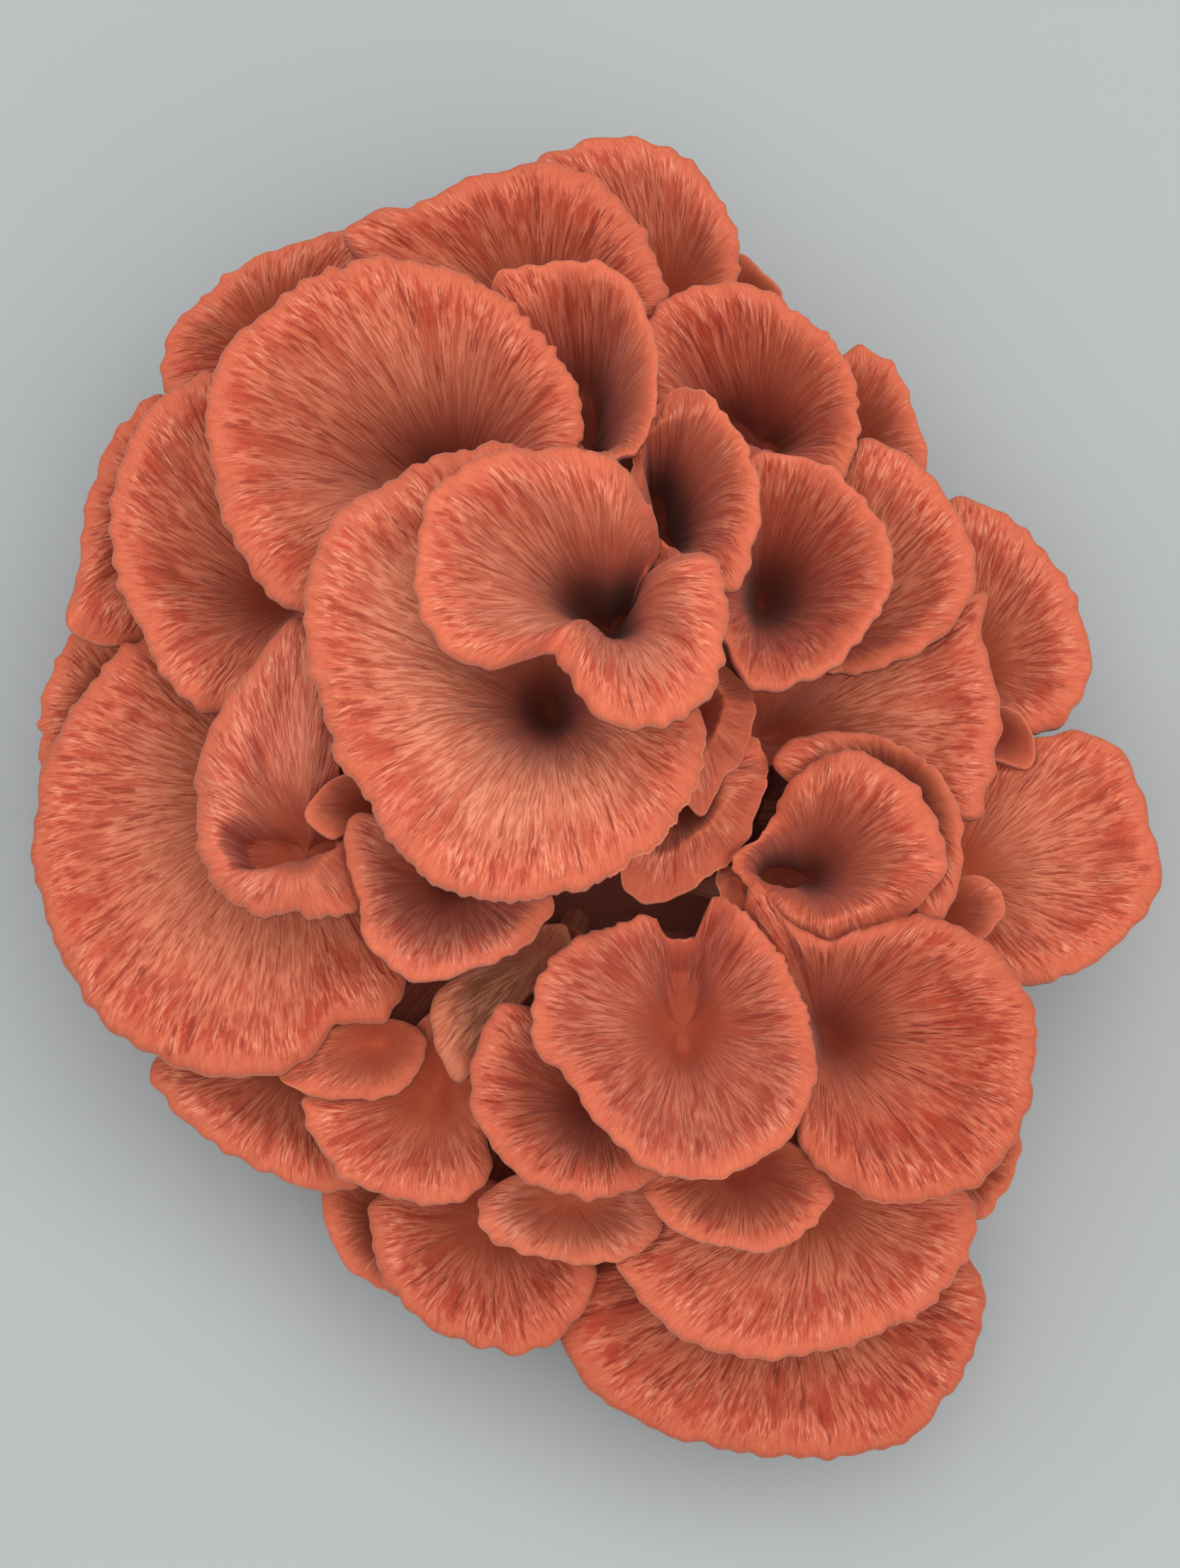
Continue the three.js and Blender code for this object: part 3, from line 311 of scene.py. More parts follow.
def closed_curve(points):
    """A closed centripetal Catmull-Rom curve through the points, in even steps of its parameter."""
    p = np.asarray(points, float)
    count = len(p)
    place = np.arange(OUTLINE_SAMPLES) * count / OUTLINE_SAMPLES
    i = place.astype(int)
    w = (place - i)[:, None]
    a, b, c, d = p[(i - 1) % count], p[i % count], p[(i + 1) % count], p[(i + 2) % count]
    t0 = np.sum((b - a) ** 2, 1)[:, None] ** 0.25
    t1 = np.sum((c - b) ** 2, 1)[:, None] ** 0.25
    t2 = np.sum((d - c) ** 2, 1)[:, None] ** 0.25
    m1 = ((b - a) / t0 - (c - a) / (t0 + t1) + (c - b) / t1) * t1
    m2 = ((c - b) / t1 - (d - b) / (t1 + t2) + (d - c) / t2) * t1
    curve = b + m1 * w + (3 * (c - b) - 2 * m1 - m2) * w**2 + (2 * (b - c) + m1 + m2) * w**3
    window = round(ROUNDING * OUTLINE_SAMPLES / count / 2)
    for _ in range(2):
        curve = sum(np.roll(curve, k, 0) for k in range(-window, window + 1)) / (2 * window + 1)
    return curve


def turn_between(start, end):
    return math.atan2(math.sin(end - start), math.cos(end - start))


def evened_radius(cap, angle):
    mean, cos1, sin1, cos2, sin2 = cap.evened
    once = cos1 * np.cos(angle) + sin1 * np.sin(angle)
    twice = cos2 * np.cos(2 * angle) + sin2 * np.sin(2 * angle)
    return np.exp(mean + once + twice)


def margin_radius(cap, angle):
    place = np.mod(angle / TURN, 1) * DIRECTIONS
    low = np.floor(place).astype(int)
    radius = lerp(cap.radii[low % DIRECTIONS], cap.radii[(low + 1) % DIRECTIONS], place - low)
    wave = RIM_WAVE * np.sin(cap.waves * angle + cap.phase)
    return radius + wave * np.minimum(radius / SLENDER_MARGIN, 1)


def slit_toward(cap, angle):
    """How far the bottom of a funnel reaches out as a slit in a direction, and how much its margin dips there."""
    direction, ahead, behind, dip = SLITS.get(cap.name, (0, 0, 0, 0))
    along = np.cos(angle - math.radians(direction))
    narrow = np.abs(along) ** SLIT_SHARPNESS
    return np.where(along > 0, ahead, behind) * narrow, np.where(along > 0, dip * narrow**3, 0)


def free_top(cap, x, y):
    """The top of a cap as it grows with nothing over it: height, share of the way out, distance outside."""
    eye_x, eye_y, eye_z = cap.eye
    angle = np.arctan2(y - eye_y, x - eye_x)
    radius = np.hypot(x - eye_x, y - eye_y)
    margin = margin_radius(cap, angle)
    slender = np.minimum(margin / SLENDER_MARGIN, 1)
    share = np.minimum(radius / margin, 1)
    here = lerp(evened_radius(cap, angle), margin, share)
    reach = np.minimum(here / cap.furthest, 1)
    flutter = RIM_FLUTTER * np.sin(cap.flutters * angle + 1.7 * cap.phase) * np.minimum(1.5 * reach, 1)
    slit, dip = slit_toward(cap, angle)
    level = lerp(cap.level[0], cap.level[1], reach) + flutter - dip
    depth = lerp(cap.depth[0], cap.depth[1], reach)
    drop = lerp(cap.roll[0], cap.roll[1], reach) * slender
    band = np.minimum(2 * drop / margin, 0.6)
    rolled = np.clip((share - 1 + band) / band, 0, 1)
    crest = 1 + (share - 1 + band) * margin / RIM_LIP_WIDTH
    lip = RIM_LIP * smooth(crest) * slender
    bottom = np.minimum(slit, SLIT_REACH * here)
    out = np.clip((radius - bottom) / (here - bottom), 0, 1)
    throat = THROAT_SHARE * cap.stem / here
    left = np.maximum(1 - (np.hypot(out, throat) - throat) / (np.hypot(1, throat) - throat), 0)
    fall = (level - eye_z) * lerp(left**depth, left, DISH_SHARE / depth)
    height = level + lip - fall - drop * (1 - np.sqrt(np.maximum(1 - rolled * rolled, 0)))
    return height, share, np.maximum(radius - margin, 0)


def flesh(share):
    return MARGIN_THICKNESS + (MIDDLE_THICKNESS - MARGIN_THICKNESS) * (1 - share) ** 1.5


def soft_lower(a, b):
    least = np.minimum(a, b)
    total = np.exp((least - a) / PRESS_SOFTNESS) + np.exp((least - b) / PRESS_SOFTNESS)
    return least - PRESS_SOFTNESS * np.log(total)


def pressing_caps(caps, index):
    """The caps over this one that are near enough to press on it."""
    cap = caps[index]
    highest = max(cap.level) + RIM_LIP + RIM_FLUTTER
    near = []
    for other in caps[:index]:
        apart = math.hypot(other.eye[0] - cap.eye[0], other.eye[1] - cap.eye[1])
        between = apart - other.furthest - cap.furthest
        room = min(other.level) - max(other.roll) - MIDDLE_THICKNESS + OPEN_SLOPE * between
        if between < FAR_ABOVE or room < highest + FAR_ABOVE:
            near.append(other)
    return near


def pressed_top(cap, near, x, y, read_at=None):
    """The top of a cap at a place, pressed down under every cap over it; its own height may be read nearby."""
    ceiling = np.full(np.shape(x), 1000.0)
    for other in near:
        height, share, outside = free_top(other, x, y)
        top = soft_lower(height, ceiling - PRESS_GAP)
        ceiling = np.minimum(ceiling, top - flesh(share) + OPEN_SLOPE * outside)
    own = free_top(cap, *(read_at or (x, y)))[0]
    return soft_lower(own, ceiling - PRESS_GAP)


def column_angles(cap, columns):
    """Directions of a cap's columns at nearly equal steps along its margin, and how far round each one is."""
    turns = [turn_between(cap.around[i], cap.around[i + 1]) for i in range(OUTLINE_SAMPLES - 1)]
    turned = cap.around[0] + np.concatenate([[0], np.cumsum(turns)])
    way = np.sign(turned[-1] - turned[0])
    rising = np.maximum.accumulate(np.maximum(way * (turned - turned[0]), 0))
    walked = np.concatenate([[0], np.cumsum(cap.steps)[:-1]])
    keys = np.append(0.85 * walked / cap.length + 0.15 * rising / TURN, 1)
    angles = turned[0] + way * np.interp(np.arange(columns) / columns, keys, np.append(rising, TURN))
    return angles if way > 0 else angles[::-1]


def on_base(point, highest):
    """The point where a ray from the origin leaves the base, no higher than the given height."""
    x, y, z = point
    found = point / math.sqrt((x / BASE_HALF_X) ** 2 + (y / BASE_HALF_Y) ** 2 + (z / BASE_HEIGHT) ** 2)
    if found[2] > highest:
        wanted = math.sqrt(1 - (highest / BASE_HEIGHT) ** 2)
        present = math.hypot(found[0] / BASE_HALF_X, found[1] / BASE_HALF_Y)
        found = np.array([found[0] / present * wanted, found[1] / present * wanted, highest])
    return found


def place_feet(caps):
    highest = [max(cap.eye[2] - 10, 7) for cap in caps]
    feet = [on_base(np.array([c.eye[0], c.eye[1], max(c.eye[2] - 4, 8)], float), h) for c, h in zip(caps, highest)]
    feet = np.array(feet)
    for _ in range(FOOT_ROUNDS):
        moved = []
        for i, foot in enumerate(feet):
            away = foot - feet
            distance = np.linalg.norm(away, axis=1)
            distance[i] = 1
            push = 0.25 * np.maximum(FOOT_SPREAD - distance, 0)
            push[i] = 0
            place = foot + (away / distance[:, None] * push[:, None]).sum(0)
            place[2] = max(place[2], 6)
            moved.append(on_base(place, highest[i]))
        feet = np.array(moved)
    return feet


def waves_round(angle, count, seed, spread=5):
    """An uneven wave with about count crests round a cap, from -1 to 1."""
    draw = np.random.RandomState(seed)
    total = np.zeros_like(angle)
    for _ in range(spread):
        crests = max(round(count * draw.uniform(0.65, 1.35)), 1)
        total += np.sin(crests * angle + draw.uniform(0, TURN))
    return total / math.sqrt(spread) / 1.4


def skin_of(caps, index, foot):
    """Rows of vertices, the faces over them and what the skin's material reads at each vertex."""
    cap = caps[index]
    near = pressing_caps(caps, index)
    eye_x, eye_y = cap.eye[:2]
    columns = max(36, 2 * round(cap.length / COLUMN_STEP / 2))
    angle = column_angles(cap, columns)
    plain = margin_radius(cap, angle)
    margin = plain
    slender = np.clip(margin / SLENDER_MARGIN, 0.3, 1)
    for length, size, seed in zip(BUMP_LENGTHS, BUMP_SIZES, (11, 23)):
        margin = margin + size * slender * waves_round(angle, cap.length / length, seed + index)
    folds = waves_round(angle, cap.length / FOLD_LENGTH, 37 + index)
    ridges = waves_round(angle, cap.length / RIDGE_LENGTH, 53 + index, 9)
    other_ridges = waves_round(angle, cap.length / RIDGE_LENGTH, 71 + index, 9)
    round_share = np.arange(columns) / columns
    barrel = cap.length / TURN
    rows, grain, zone = [], [], []

    def place(radius):
        return eye_x + radius * np.cos(angle), eye_y + radius * np.sin(angle)

    def add_row(points, share, side):
        from_margin = (1 - share) * margin
        rows.append(points)
        turn = TURN * round_share
        grain.append(np.stack([barrel * np.cos(turn), barrel * np.sin(turn), from_margin], -1))
        zone.append(np.stack([np.zeros(columns), side * np.ones(columns), share * margin], -1))

    rows_in = np.linspace(0, 1, TOP_ROWS + 1)[1:]
    for step in rows_in:
        share = 0.45 * step + 0.55 * (1 - (1 - step) ** 2.2)
        x = eye_x + share * margin * np.cos(angle)
        y = eye_y + share * margin * np.sin(angle)
        z = pressed_top(cap, near, x, y, place(share * plain))
        inner = smooth(share * 1.8 - 0.35)
        edge = 1 - 0.6 * smooth((share - 0.9) / 0.1)
        z = z + FOLD_DEPTH * folds * smooth(share * 2 - 0.9) * slender
        z = z + RIDGE_DEPTH * inner * edge * lerp(ridges, other_ridges, smooth(2 * share - 0.8))
        add_row(np.stack([x, y, z], -1), share, 0)
    top_edge = rows[-1]
    inner_radius = np.minimum(1.3 * cap.stem, 0.7 * margin)
    gill = np.arange(columns) % 2
    for out in UNDER_ROWS:
        radius = lerp(inner_radius, margin, out)
        share = radius / margin
        x = eye_x + radius * np.cos(angle)
        y = eye_y + radius * np.sin(angle)
        thickness = flesh(share)
        groove = GILL_SHARE * thickness * min(6 * (1 - out), 1) * gill
        inward_x = x - WALL * np.cos(angle)
        inward_y = y - WALL * np.sin(angle)
        level = lerp(inner_radius, plain, out)
        top = pressed_top(cap, near, x, y, place(level))
        top = np.minimum(top, pressed_top(cap, near, inward_x, inward_y, place(level - WALL)))
        z = top - thickness + groove
        if out == 1:
            z = top_edge[:, 2] - thickness
        add_row(np.stack([x, y, z], -1), share, 1)
    ring = rows[-1]
    neck = min(ring[:, 2].min() - 1.5, cap.eye[2] - NECK_DEPTH)
    end = foot * FOOT_DEPTH
    end[2] = min(end[2], neck - 6)
    lean = math.hypot(end[0] - eye_x, end[1] - eye_y)
    fall = neck - end[2]
    widen = min(math.hypot(lean, fall) / fall, MOST_LEAN)
    lean_angle = math.atan2(end[1] - eye_y, end[0] - eye_x)
    furrows = waves_round(angle, 9, 91 + index)
    for down in NECK_ROWS:
        radius = lerp(inner_radius, cap.stem * (1 + 0.05 * furrows), down**0.6) - 0.5 * gill
        z = lerp(ring[:, 2], neck, down)
        points = np.stack([eye_x + radius * np.cos(angle), eye_y + radius * np.sin(angle), z], -1)
        add_row(points, 0.1, 1 + 0.4 * down)
    for down in STEM_ROWS:
        along = down**1.2
        radius = cap.stem * (1 - 0.12 * math.sin(math.pi * down) + 0.25 * down * down)
        radius = radius * (1 + 0.05 * furrows) - 0.5 * gill * max(1 - 2 * down, 0)
        stretch = lerp(1, widen, min(3 * down, 1))
        u = radius * stretch * np.cos(angle - lean_angle)
        v = radius * np.sin(angle - lean_angle)
        x = lerp(eye_x, end[0], along) + u * math.cos(lean_angle) - v * math.sin(lean_angle)
        y = lerp(eye_y, end[1], along) + u * math.sin(lean_angle) + v * math.cos(lean_angle)
        add_row(np.stack([x, y, np.full(columns, lerp(neck, end[2], down))], -1), 0.1, 1.4 + 0.6 * min(3 * down, 1))
    bottom = float(pressed_top(cap, near, np.array([eye_x]), np.array([eye_y]))[0])
    ends = np.array([[eye_x, eye_y, bottom], list(end)])
    points = np.concatenate([ends] + rows)
    grain = np.concatenate([[[0, 0, margin.mean()], [0, 0, margin.mean()]]] + grain)
    zone = np.concatenate([[[0, 0, 0], [0, 2, 0]]] + zone)
    # How far below its margin each point lies, which the material reads to paint shade deep in the funnels.
    zone[:, 0] = top_edge[:, 2].mean() - points[:, 2]
    return points, faces_over(len(rows), columns), grain, zone


def faces_over(row_count, columns):
    """Quads over the rows, with a fan at the first point (0) and at the last (1)."""
    c = np.arange(columns)
    after = (c + 1) % columns
    first = 2 + c
    faces = [[0, a, b] for a, b in zip(first.tolist(), (2 + after).tolist())]
    for r in range(row_count - 1):
        top = 2 + r * columns
        low = top + columns
        quads = np.stack([top + c, low + c, low + after, top + after], -1)
        faces += quads.tolist()
    last = 2 + (row_count - 1) * columns
    faces += [[1, a, b] for a, b in zip((last + after).tolist(), (last + c).tolist())]
    return faces


def make_piece(name, points, faces, material, node, attributes):
    mesh = bpy.data.meshes.new(name)
    mesh.from_pydata((points * MM).tolist(), [], faces)
    for label, values in attributes.items():
        layer = mesh.attributes.new(label, "FLOAT_VECTOR", "POINT")
        layer.data.foreach_set("vector", np.asarray(values, np.float32).ravel())
    mesh.polygons.foreach_set("use_smooth", [True] * len(mesh.polygons))
    mesh.materials.append(material)
    piece = bpy.data.objects.new(name, mesh)
    bpy.context.collection.objects.link(piece)
    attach(piece, "root")
    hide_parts(node)
    return piece


def butt_skin():
    """The base: a lumpy dome on a flat cut face, felted with mould where it shows."""
    columns = 220
    rows = 80
    angle = np.arange(columns) * TURN / columns
    knobs = [waves_round(angle, 14, 201 + k) for k in range(6)]
    rings = []
    for r in range(1, rows + 1):
        slope = math.pi / 2 * r / rows
        share = math.sin(slope)
        height = max(BASE_HEIGHT * math.cos(slope) ** 0.8, BASE_CUT_LEVEL if r == rows else 0)
        lump = 1 + BASE_LUMP * np.sin(3 * angle + 1) + 0.6 * BASE_LUMP * np.sin(7 * angle)
        place = 5 * r / rows
        knob = lerp(knobs[int(place)], knobs[min(int(place) + 1, 5)], place - int(place))
        radial = 1 + 0.012 * knob * share
        x = BASE_HALF_X * share * lump * radial * np.cos(angle)
        y = BASE_HALF_Y * share * lump * radial * np.sin(angle)
        rings.append(np.stack([x, y, np.full(columns, height) + 0.5 * knob * math.sin(2 * slope)], -1))
    for share, height in ((0.97, 4.5), (0.93, 1.5), (0.9, 0)):
        lump = 1 + BASE_LUMP * np.sin(3 * angle + 1) + 0.6 * BASE_LUMP * np.sin(7 * angle)
        x = BASE_HALF_X * share * lump * np.cos(angle)
        y = BASE_HALF_Y * share * lump * np.sin(angle)
        rings.append(np.stack([x, y, np.full(columns, height)], -1))
    points = np.concatenate([[[0, 0, BASE_HEIGHT], [0, 0, 0]]] + rings)
    return points, faces_over(len(rings), columns)


# Materials.

def linear(red, green, blue):
    """A colour given as on screen, from 0 to 255, as the renderer takes it."""
    parts = [v / 255 for v in (red, green, blue)]
    return tuple(v / 12.92 if v <= 0.04045 else ((v + 0.055) / 1.055) ** 2.4 for v in parts) + (1,)


class Nodes:
    """Short names for the nodes of one material."""

    def __init__(self, name):
        self.material = bpy.data.materials.new(name)
        self.material.use_nodes = True
        self.tree = self.material.node_tree
        self.shader = self.tree.nodes["Principled BSDF"]

    def put(self, kind, inputs, **settings):
        node = self.tree.nodes.new("ShaderNode" + kind)
        for key, value in settings.items():
            setattr(node, key, value)
        for key, value in inputs.items():
            if isinstance(value, bpy.types.NodeSocket):
                self.tree.links.new(value, node.inputs[key])
            elif value is not None:
                node.inputs[key].default_value = value
        return node

    def math(self, operation, a, b=None, c=None):
        return self.put("Math", {0: a, 1: b, 2: c}, operation=operation).outputs[0]

    def attribute(self, name):
        source = self.put("Attribute", {}, attribute_name=name).outputs["Vector"]
        return self.put("SeparateXYZ", {0: source}).outputs, source

    def scaled(self, vector, factors):
        return self.put("VectorMath", {0: vector, 1: factors}, operation="MULTIPLY").outputs[0]

    def noise(self, vector, factors, detail=2, roughness=0.5):
        inputs = {"Vector": self.scaled(vector, factors), "Scale": 1, "Detail": detail, "Roughness": roughness}
        return self.put("TexNoise", inputs).outputs["Fac"]

    def ramp(self, value, start, end, low=0, high=1):
        """Goes smoothly from low to high while the value goes from start to end."""
        inputs = {"Value": value, "From Min": start, "From Max": end, "To Min": low, "To Max": high}
        return self.put("MapRange", inputs, interpolation_type="SMOOTHSTEP").outputs[0]

    def blend(self, share, a, b, blend_type="MIX"):
        node = self.put("Mix", {0: share, 6: a, 7: b}, data_type="RGBA", blend_type=blend_type)
        return node.outputs[2]

    def link(self, socket, name):
        self.tree.links.new(socket, self.shader.inputs[name])

    def bump(self, height, strength, distance):
        inputs = {"Height": height, "Strength": strength, "Distance": distance}
        return self.put("Bump", inputs).outputs["Normal"]


def flesh_material():
    """Velvety flesh: smooth at the rolled margin, pale silky fibrils over a red ground, tan in the funnel, painted
    shade in its depths.
    """
    n = Nodes("oyster_flesh")
    (_, _, from_margin), grain = n.attribute("grain")
    (sink, side, radius), _ = n.attribute("zone")
    (pale, pink, dark_streaks_and_shade), _ = n.attribute("tone")
    place = n.put("TexCoord", {}).outputs["Object"]
    height_up = n.put("SeparateXYZ", {0: place}).outputs["Z"]
    broad = n.noise(place, (38, 38, 38), 2)
    patch = n.noise(place, (120, 120, 120), 3)
    felt = n.noise(place, (2600, 2600, 2600), 1)
    bend = n.put("TexNoise", {"Vector": n.scaled(grain, (0.13, 0.13, 0.09)), "Scale": 1, "Detail": 1}).outputs["Color"]
    bend = n.put("VectorMath", {0: bend, 1: (0.5, 0.5, 0.5)}, operation="SUBTRACT").outputs[0]
    combed = n.put("VectorMath", {0: n.scaled(bend, (2.6, 2.6, 2.6)), 1: grain}, operation="ADD").outputs[0]
    strand = n.noise(combed, (1.3, 1.3, 0.26), 1)
    thread = n.noise(combed, (2.8, 2.8, 0.5), 1)
    streak = n.noise(combed, (0.7, 0.7, 0.09), 1)
    bald = n.noise(combed, (0.3, 0.3, 0.12), 2)
    sway = n.math("MULTIPLY_ADD", n.noise(grain, (0.08, 0.08, 0.05), 1), 6, -3)
    depth_in = n.math("ADD", from_margin, sway)
    fringe = n.math("ADD", depth_in, n.math("MULTIPLY_ADD", n.noise(grain, (1, 1, 0.25), 1), 5, -2.5))

    ring = n.math("MULTIPLY", n.ramp(fringe, 2.5, 5), n.ramp(depth_in, 24, 9))
    ring = n.math("MULTIPLY", ring, n.ramp(patch, 0.35, 0.6, 0.5, 1))
    middle = n.ramp(depth_in, 9, 20)
    funnel = n.math("MULTIPLY", n.ramp(radius, 16, 4), n.math("MULTIPLY_ADD", pale, 0.4, 0.6))
    furry = n.math("MULTIPLY", n.ramp(fringe, 1.6, 3.4, 0.15, 1), n.ramp(radius, 3, 12, 0.06, 1))

    ground = n.blend(patch, linear(206, 94, 69), linear(194, 80, 56))
    ground = n.blend(middle, ground, linear(214, 113, 86))
    ground = n.blend(n.math("MULTIPLY", ring, 0.9), ground, linear(184, 62, 42))
    ground = n.blend(funnel, ground, linear(188, 98, 70))
    lifted = n.blend(broad, linear(226, 126, 97), linear(219, 117, 89))
    lifted = n.blend(middle, lifted, linear(238, 147, 117))
    lifted = n.blend(funnel, lifted, linear(215, 131, 99))
    tan = n.math("MULTIPLY", n.ramp(depth_in, 4, 14), n.math("MULTIPLY", pale, 0.75))
    ground = n.blend(tan, ground, linear(208, 118, 90))
    lifted = n.blend(tan, lifted, linear(234, 162, 132))
    rosy = n.math("MULTIPLY", pink, 0.6)
    ground = n.blend(rosy, ground, linear(184, 84, 72))
    lifted = n.blend(rosy, lifted, linear(220, 142, 126))
    cover = n.math("ADD", n.math("MULTIPLY", strand, 0.62), n.math("MULTIPLY", thread, 0.38))
    cover = n.ramp(cover, 0.33, 0.6)
    bare = n.math("MULTIPLY", n.ramp(bald, 0.54, 0.62), n.math("MULTIPLY_ADD", dark_streaks_and_shade, 0.4, 0.6))
    bare = n.math("MULTIPLY", bare, n.math("MULTIPLY_ADD", ring, 0.75, 0.2))
    cover = n.math("MULTIPLY", cover, n.math("SUBTRACT", 1, bare))
    frost = n.math("MULTIPLY", n.ramp(fringe, 16, 4, 0.3, 1), n.ramp(thread, 0.52, 0.64))
    frost = n.math("MULTIPLY", frost, n.ramp(bald, 0.56, 0.4, 0.15, 0.75))
    lifted = n.blend(frost, lifted, linear(238, 168, 142))
    fur = n.blend(cover, ground, lifted)
    margin = n.blend(broad, linear(214, 112, 83), linear(204, 102, 75))
    margin = n.blend(n.math("MULTIPLY", n.ramp(thread, 0.35, 0.65), 0.3), margin, linear(228, 134, 106))
    bald_eye = n.blend(n.ramp(patch, 0.35, 0.65), linear(188, 92, 66), linear(202, 108, 79))
    margin = n.blend(n.ramp(radius, 13, 6), margin, bald_eye)
    colour = n.blend(furry, margin, fur)

    dark_lines = n.math("MULTIPLY", n.ramp(streak, 0.56, 0.68), n.ramp(cover, 0.9, 0.2, 0.3, 1))
    dark_lines = n.math("MULTIPLY", dark_lines, n.math("MULTIPLY", furry, n.math("MULTIPLY_ADD", dark_streaks_and_shade, 0.5, 0.4)))
    colour = n.blend(dark_lines, colour, linear(158, 58, 42))
    colour = n.blend(n.math("MULTIPLY", n.ramp(felt, 0.35, 0.65), 0.1), colour, linear(224, 165, 142))
    # Painted shade: the deeper a point lies below its margin near the eye, the darker red-brown it is painted, down to
    # maroon at the bottom of a deep funnel where little light reaches.
    throat = n.math("MULTIPLY", n.ramp(sink, 9, 32), n.ramp(radius, 14, 4, 0.25, 1))
    colour = n.blend(n.math("MULTIPLY", throat, 0.6), colour, linear(136, 54, 39))
    pit = n.math("MULTIPLY", n.ramp(sink, 22, 36), n.ramp(radius, 10, 5))
    colour = n.blend(n.math("MULTIPLY", pit, 0.45), colour, linear(92, 32, 25))
    # Painted sheen: a thin pale line along the very edge of the margin, where the fine fuzz catches the light.
    edge = n.math("MULTIPLY", n.ramp(from_margin, 0.5, 0.1), 0.35)
    colour = n.blend(edge, colour, linear(214, 158, 134))

    gill = n.blend(broad, linear(190, 122, 96), linear(172, 98, 75))
    stalk = n.blend(n.ramp(strand, 0.4, 0.65), linear(172, 88, 64), linear(196, 116, 88))
    stalk = n.blend(n.ramp(height_up, 0.03, 0.012), stalk, linear(208, 156, 128))
    brown = n.math("MULTIPLY", n.ramp(pale, 1, 2), n.ramp(from_margin, 2, 9, 0.5, 1))
    colour = n.blend(brown, colour, n.blend(cover, linear(150, 92, 66), linear(206, 146, 118)))
    colour = n.blend(1, colour, linear(250, 234, 222), "MULTIPLY")
    # Painted shade, partly the cap's own darker tone: the whole colour darkens with the cap's third tone share, most
    # on the low caps.
    colour = n.blend(n.math("MULTIPLY", dark_streaks_and_shade, 0.5), colour, linear(214, 200, 196), "MULTIPLY")
    colour = n.blend(n.ramp(side, 0.4, 0.9), colour, gill)
    colour = n.blend(n.ramp(side, 1.1, 2.0), colour, stalk)
    n.link(colour, "Base Color")

    fibres = n.math("MULTIPLY", n.math("ADD", cover, n.math("MULTIPLY", thread, 0.5)), furry)
    height = n.math("MULTIPLY_ADD", felt, 0.2, n.math("SUBTRACT", fibres, n.math("MULTIPLY", dark_lines, 0.5)))
    n.link(n.bump(height, 0.6, 0.00035), "Normal")
    n.shader.inputs["Roughness"].default_value = 0.75
    n.shader.inputs["Specular IOR Level"].default_value = 0.2
    n.shader.inputs["Sheen Weight"].default_value = 0.12
    n.shader.inputs["Sheen Roughness"].default_value = 0.45
    n.shader.inputs["Sheen Tint"].default_value = (1, 0.78, 0.7, 1)
    n.shader.inputs["Subsurface Weight"].default_value = 0.1
    n.shader.inputs["Subsurface Radius"].default_value = (1, 0.35, 0.2)
    n.shader.inputs["Subsurface Scale"].default_value = 0.0015
    return n.material


def butt_material():
    """The fused base: pale and knobbly low down, painted shade in dark reddish brown between the stems, with a felt of
    fine white mould.
    """
    n = Nodes("oyster_butt")
    place = n.put("TexCoord", {}).outputs["Object"]
    height = n.put("SeparateXYZ", {0: place}).outputs["Z"]
    lump = n.noise(place, (90, 90, 90), 3)
    felt = n.noise(place, (700, 700, 700), 4, 0.65)
    pit = n.noise(place, (220, 220, 220), 2)
    colour = n.blend(lump, linear(214, 192, 160), linear(232, 218, 194))
    colour = n.blend(n.ramp(pit, 0.58, 0.72, 0, 0.7), colour, linear(150, 112, 82))
    colour = n.blend(n.ramp(felt, 0.52, 0.7, 0, 0.6), colour, linear(226, 212, 190))
    # Painted shade: higher up, between and under the stems, the base turns a dark brown, tinted red like the flesh.
    colour = n.blend(n.ramp(height, 0.012, 0.03, 0, 0.95), colour, linear(128, 50, 38))
    n.link(colour, "Base Color")
    n.link(n.bump(n.math("ADD", felt, lump), 0.7, 0.001), "Normal")
    n.shader.inputs["Roughness"].default_value = 0.9
    n.shader.inputs["Specular IOR Level"].default_value = 0.2
    n.shader.inputs["Sheen Weight"].default_value = 0.15
    return n.material


def floor_material():
    n = Nodes("floor")
    place = n.put("TexCoord", {}).outputs["Object"]
    cloud = n.noise(place, (3, 3, 3), 2)
    n.link(n.blend(cloud, linear(171, 174, 175), linear(177, 180, 181)), "Base Color")
    n.shader.inputs["Roughness"].default_value = 0.9
    n.shader.inputs["Specular IOR Level"].default_value = 0.1
    return n.material


# The camera and the stage.

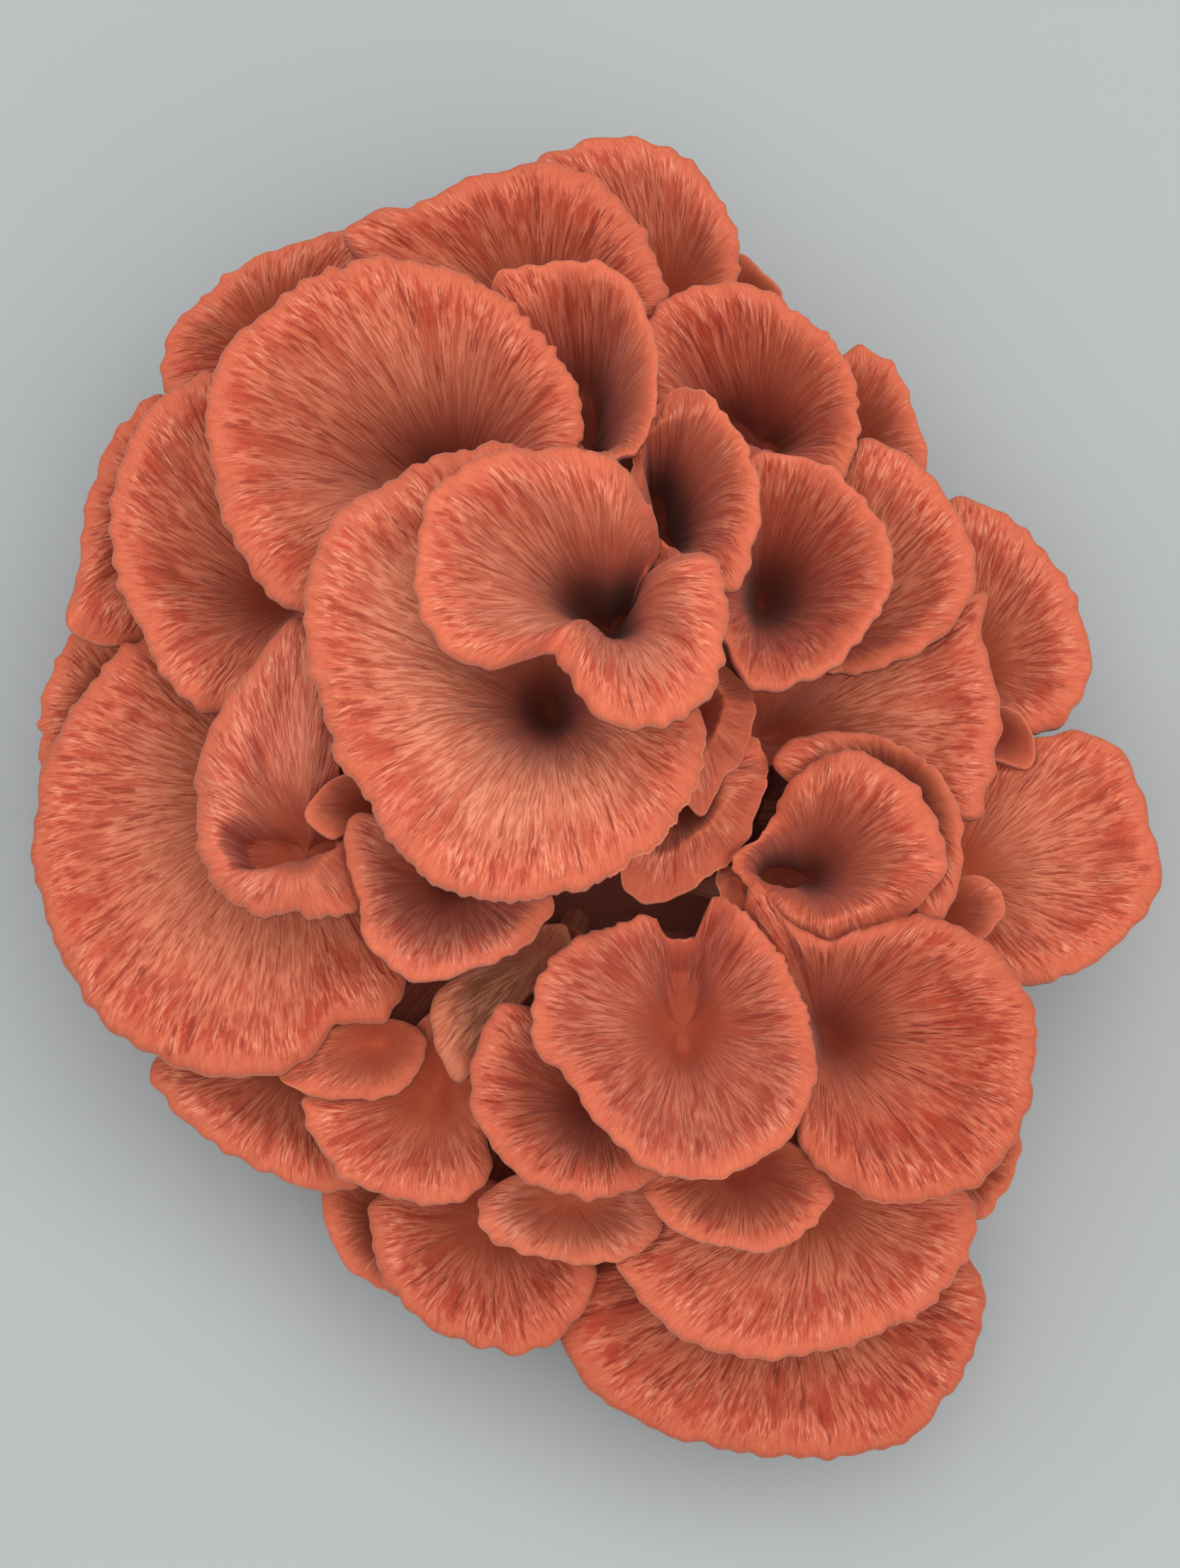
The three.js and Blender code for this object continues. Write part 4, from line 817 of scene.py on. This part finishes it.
def aimed(thing, place, target):
    thing.location = Vector(place) * MM
    thing.rotation_euler = (Vector(target) * MM - thing.location).to_track_quat("-Z", "Y").to_euler()
    bpy.context.collection.objects.link(thing)
    return thing


def soft_light(name, place, power, width, colour):
    light = bpy.data.lights.new(name, "AREA")
    light.energy = power
    light.size = width * MM
    light.color = colour
    return aimed(bpy.data.objects.new(name, light), place, CAMERA_TARGET)


tilt = math.radians(CAMERA_ELEVATION)
back = Vector((0, -math.cos(tilt), math.sin(tilt)))
lens = bpy.data.cameras.new("camera")
lens.sensor_width = CAMERA_SENSOR
lens.lens = CAMERA_LENS
camera = aimed(bpy.data.objects.new("camera", lens), Vector(CAMERA_TARGET) + back * CAMERA_DISTANCE, CAMERA_TARGET)
bpy.context.scene.camera = camera
bpy.context.scene.view_settings.view_transform = "Standard"

floor_mesh = bpy.data.meshes.new("floor")
reach = FLOOR_SIZE / 2 * MM
corners = [(-reach, -reach, 0), (reach, -reach, 0), (reach, reach, 0), (-reach, reach, 0)]
floor_mesh.from_pydata(corners, [], [(0, 1, 2, 3)])
floor_mesh.materials.append(floor_material())
floor = bpy.data.objects.new("floor", floor_mesh)
bpy.context.collection.objects.link(floor)

soft_light("key_light", (200, -80, 880), KEY_POWER, 900, (1, 0.98, 0.95))
soft_light("fill_light", (-180, 120, 900), FILL_POWER, 1100, (0.97, 0.99, 1))
world = bpy.data.worlds.new("studio")
world.use_nodes = True
world.node_tree.nodes["Background"].inputs["Color"].default_value = (0.95, 0.97, 1, 1)
world.node_tree.nodes["Background"].inputs["Strength"].default_value = SKY_STRENGTH
bpy.context.scene.world = world


# The cluster.

flesh_look = flesh_material()
caps = [Cap(row, index) for index, row in enumerate(MUSHROOMS)]
feet = place_feet(caps)
for index, cap in enumerate(caps):
    points, faces, grain, zone = skin_of(caps, index, feet[index])
    tone = np.tile(TONES.get(cap.name, USUAL_TONE), (len(points), 1))
    attributes = {"grain": grain, "zone": zone, "tone": tone}
    make_piece(cap.name + "_flesh", points, faces, flesh_look, cap.name, attributes)

points, faces = butt_skin()
make_piece("butt_mould", points, faces, butt_material(), "butt", {})
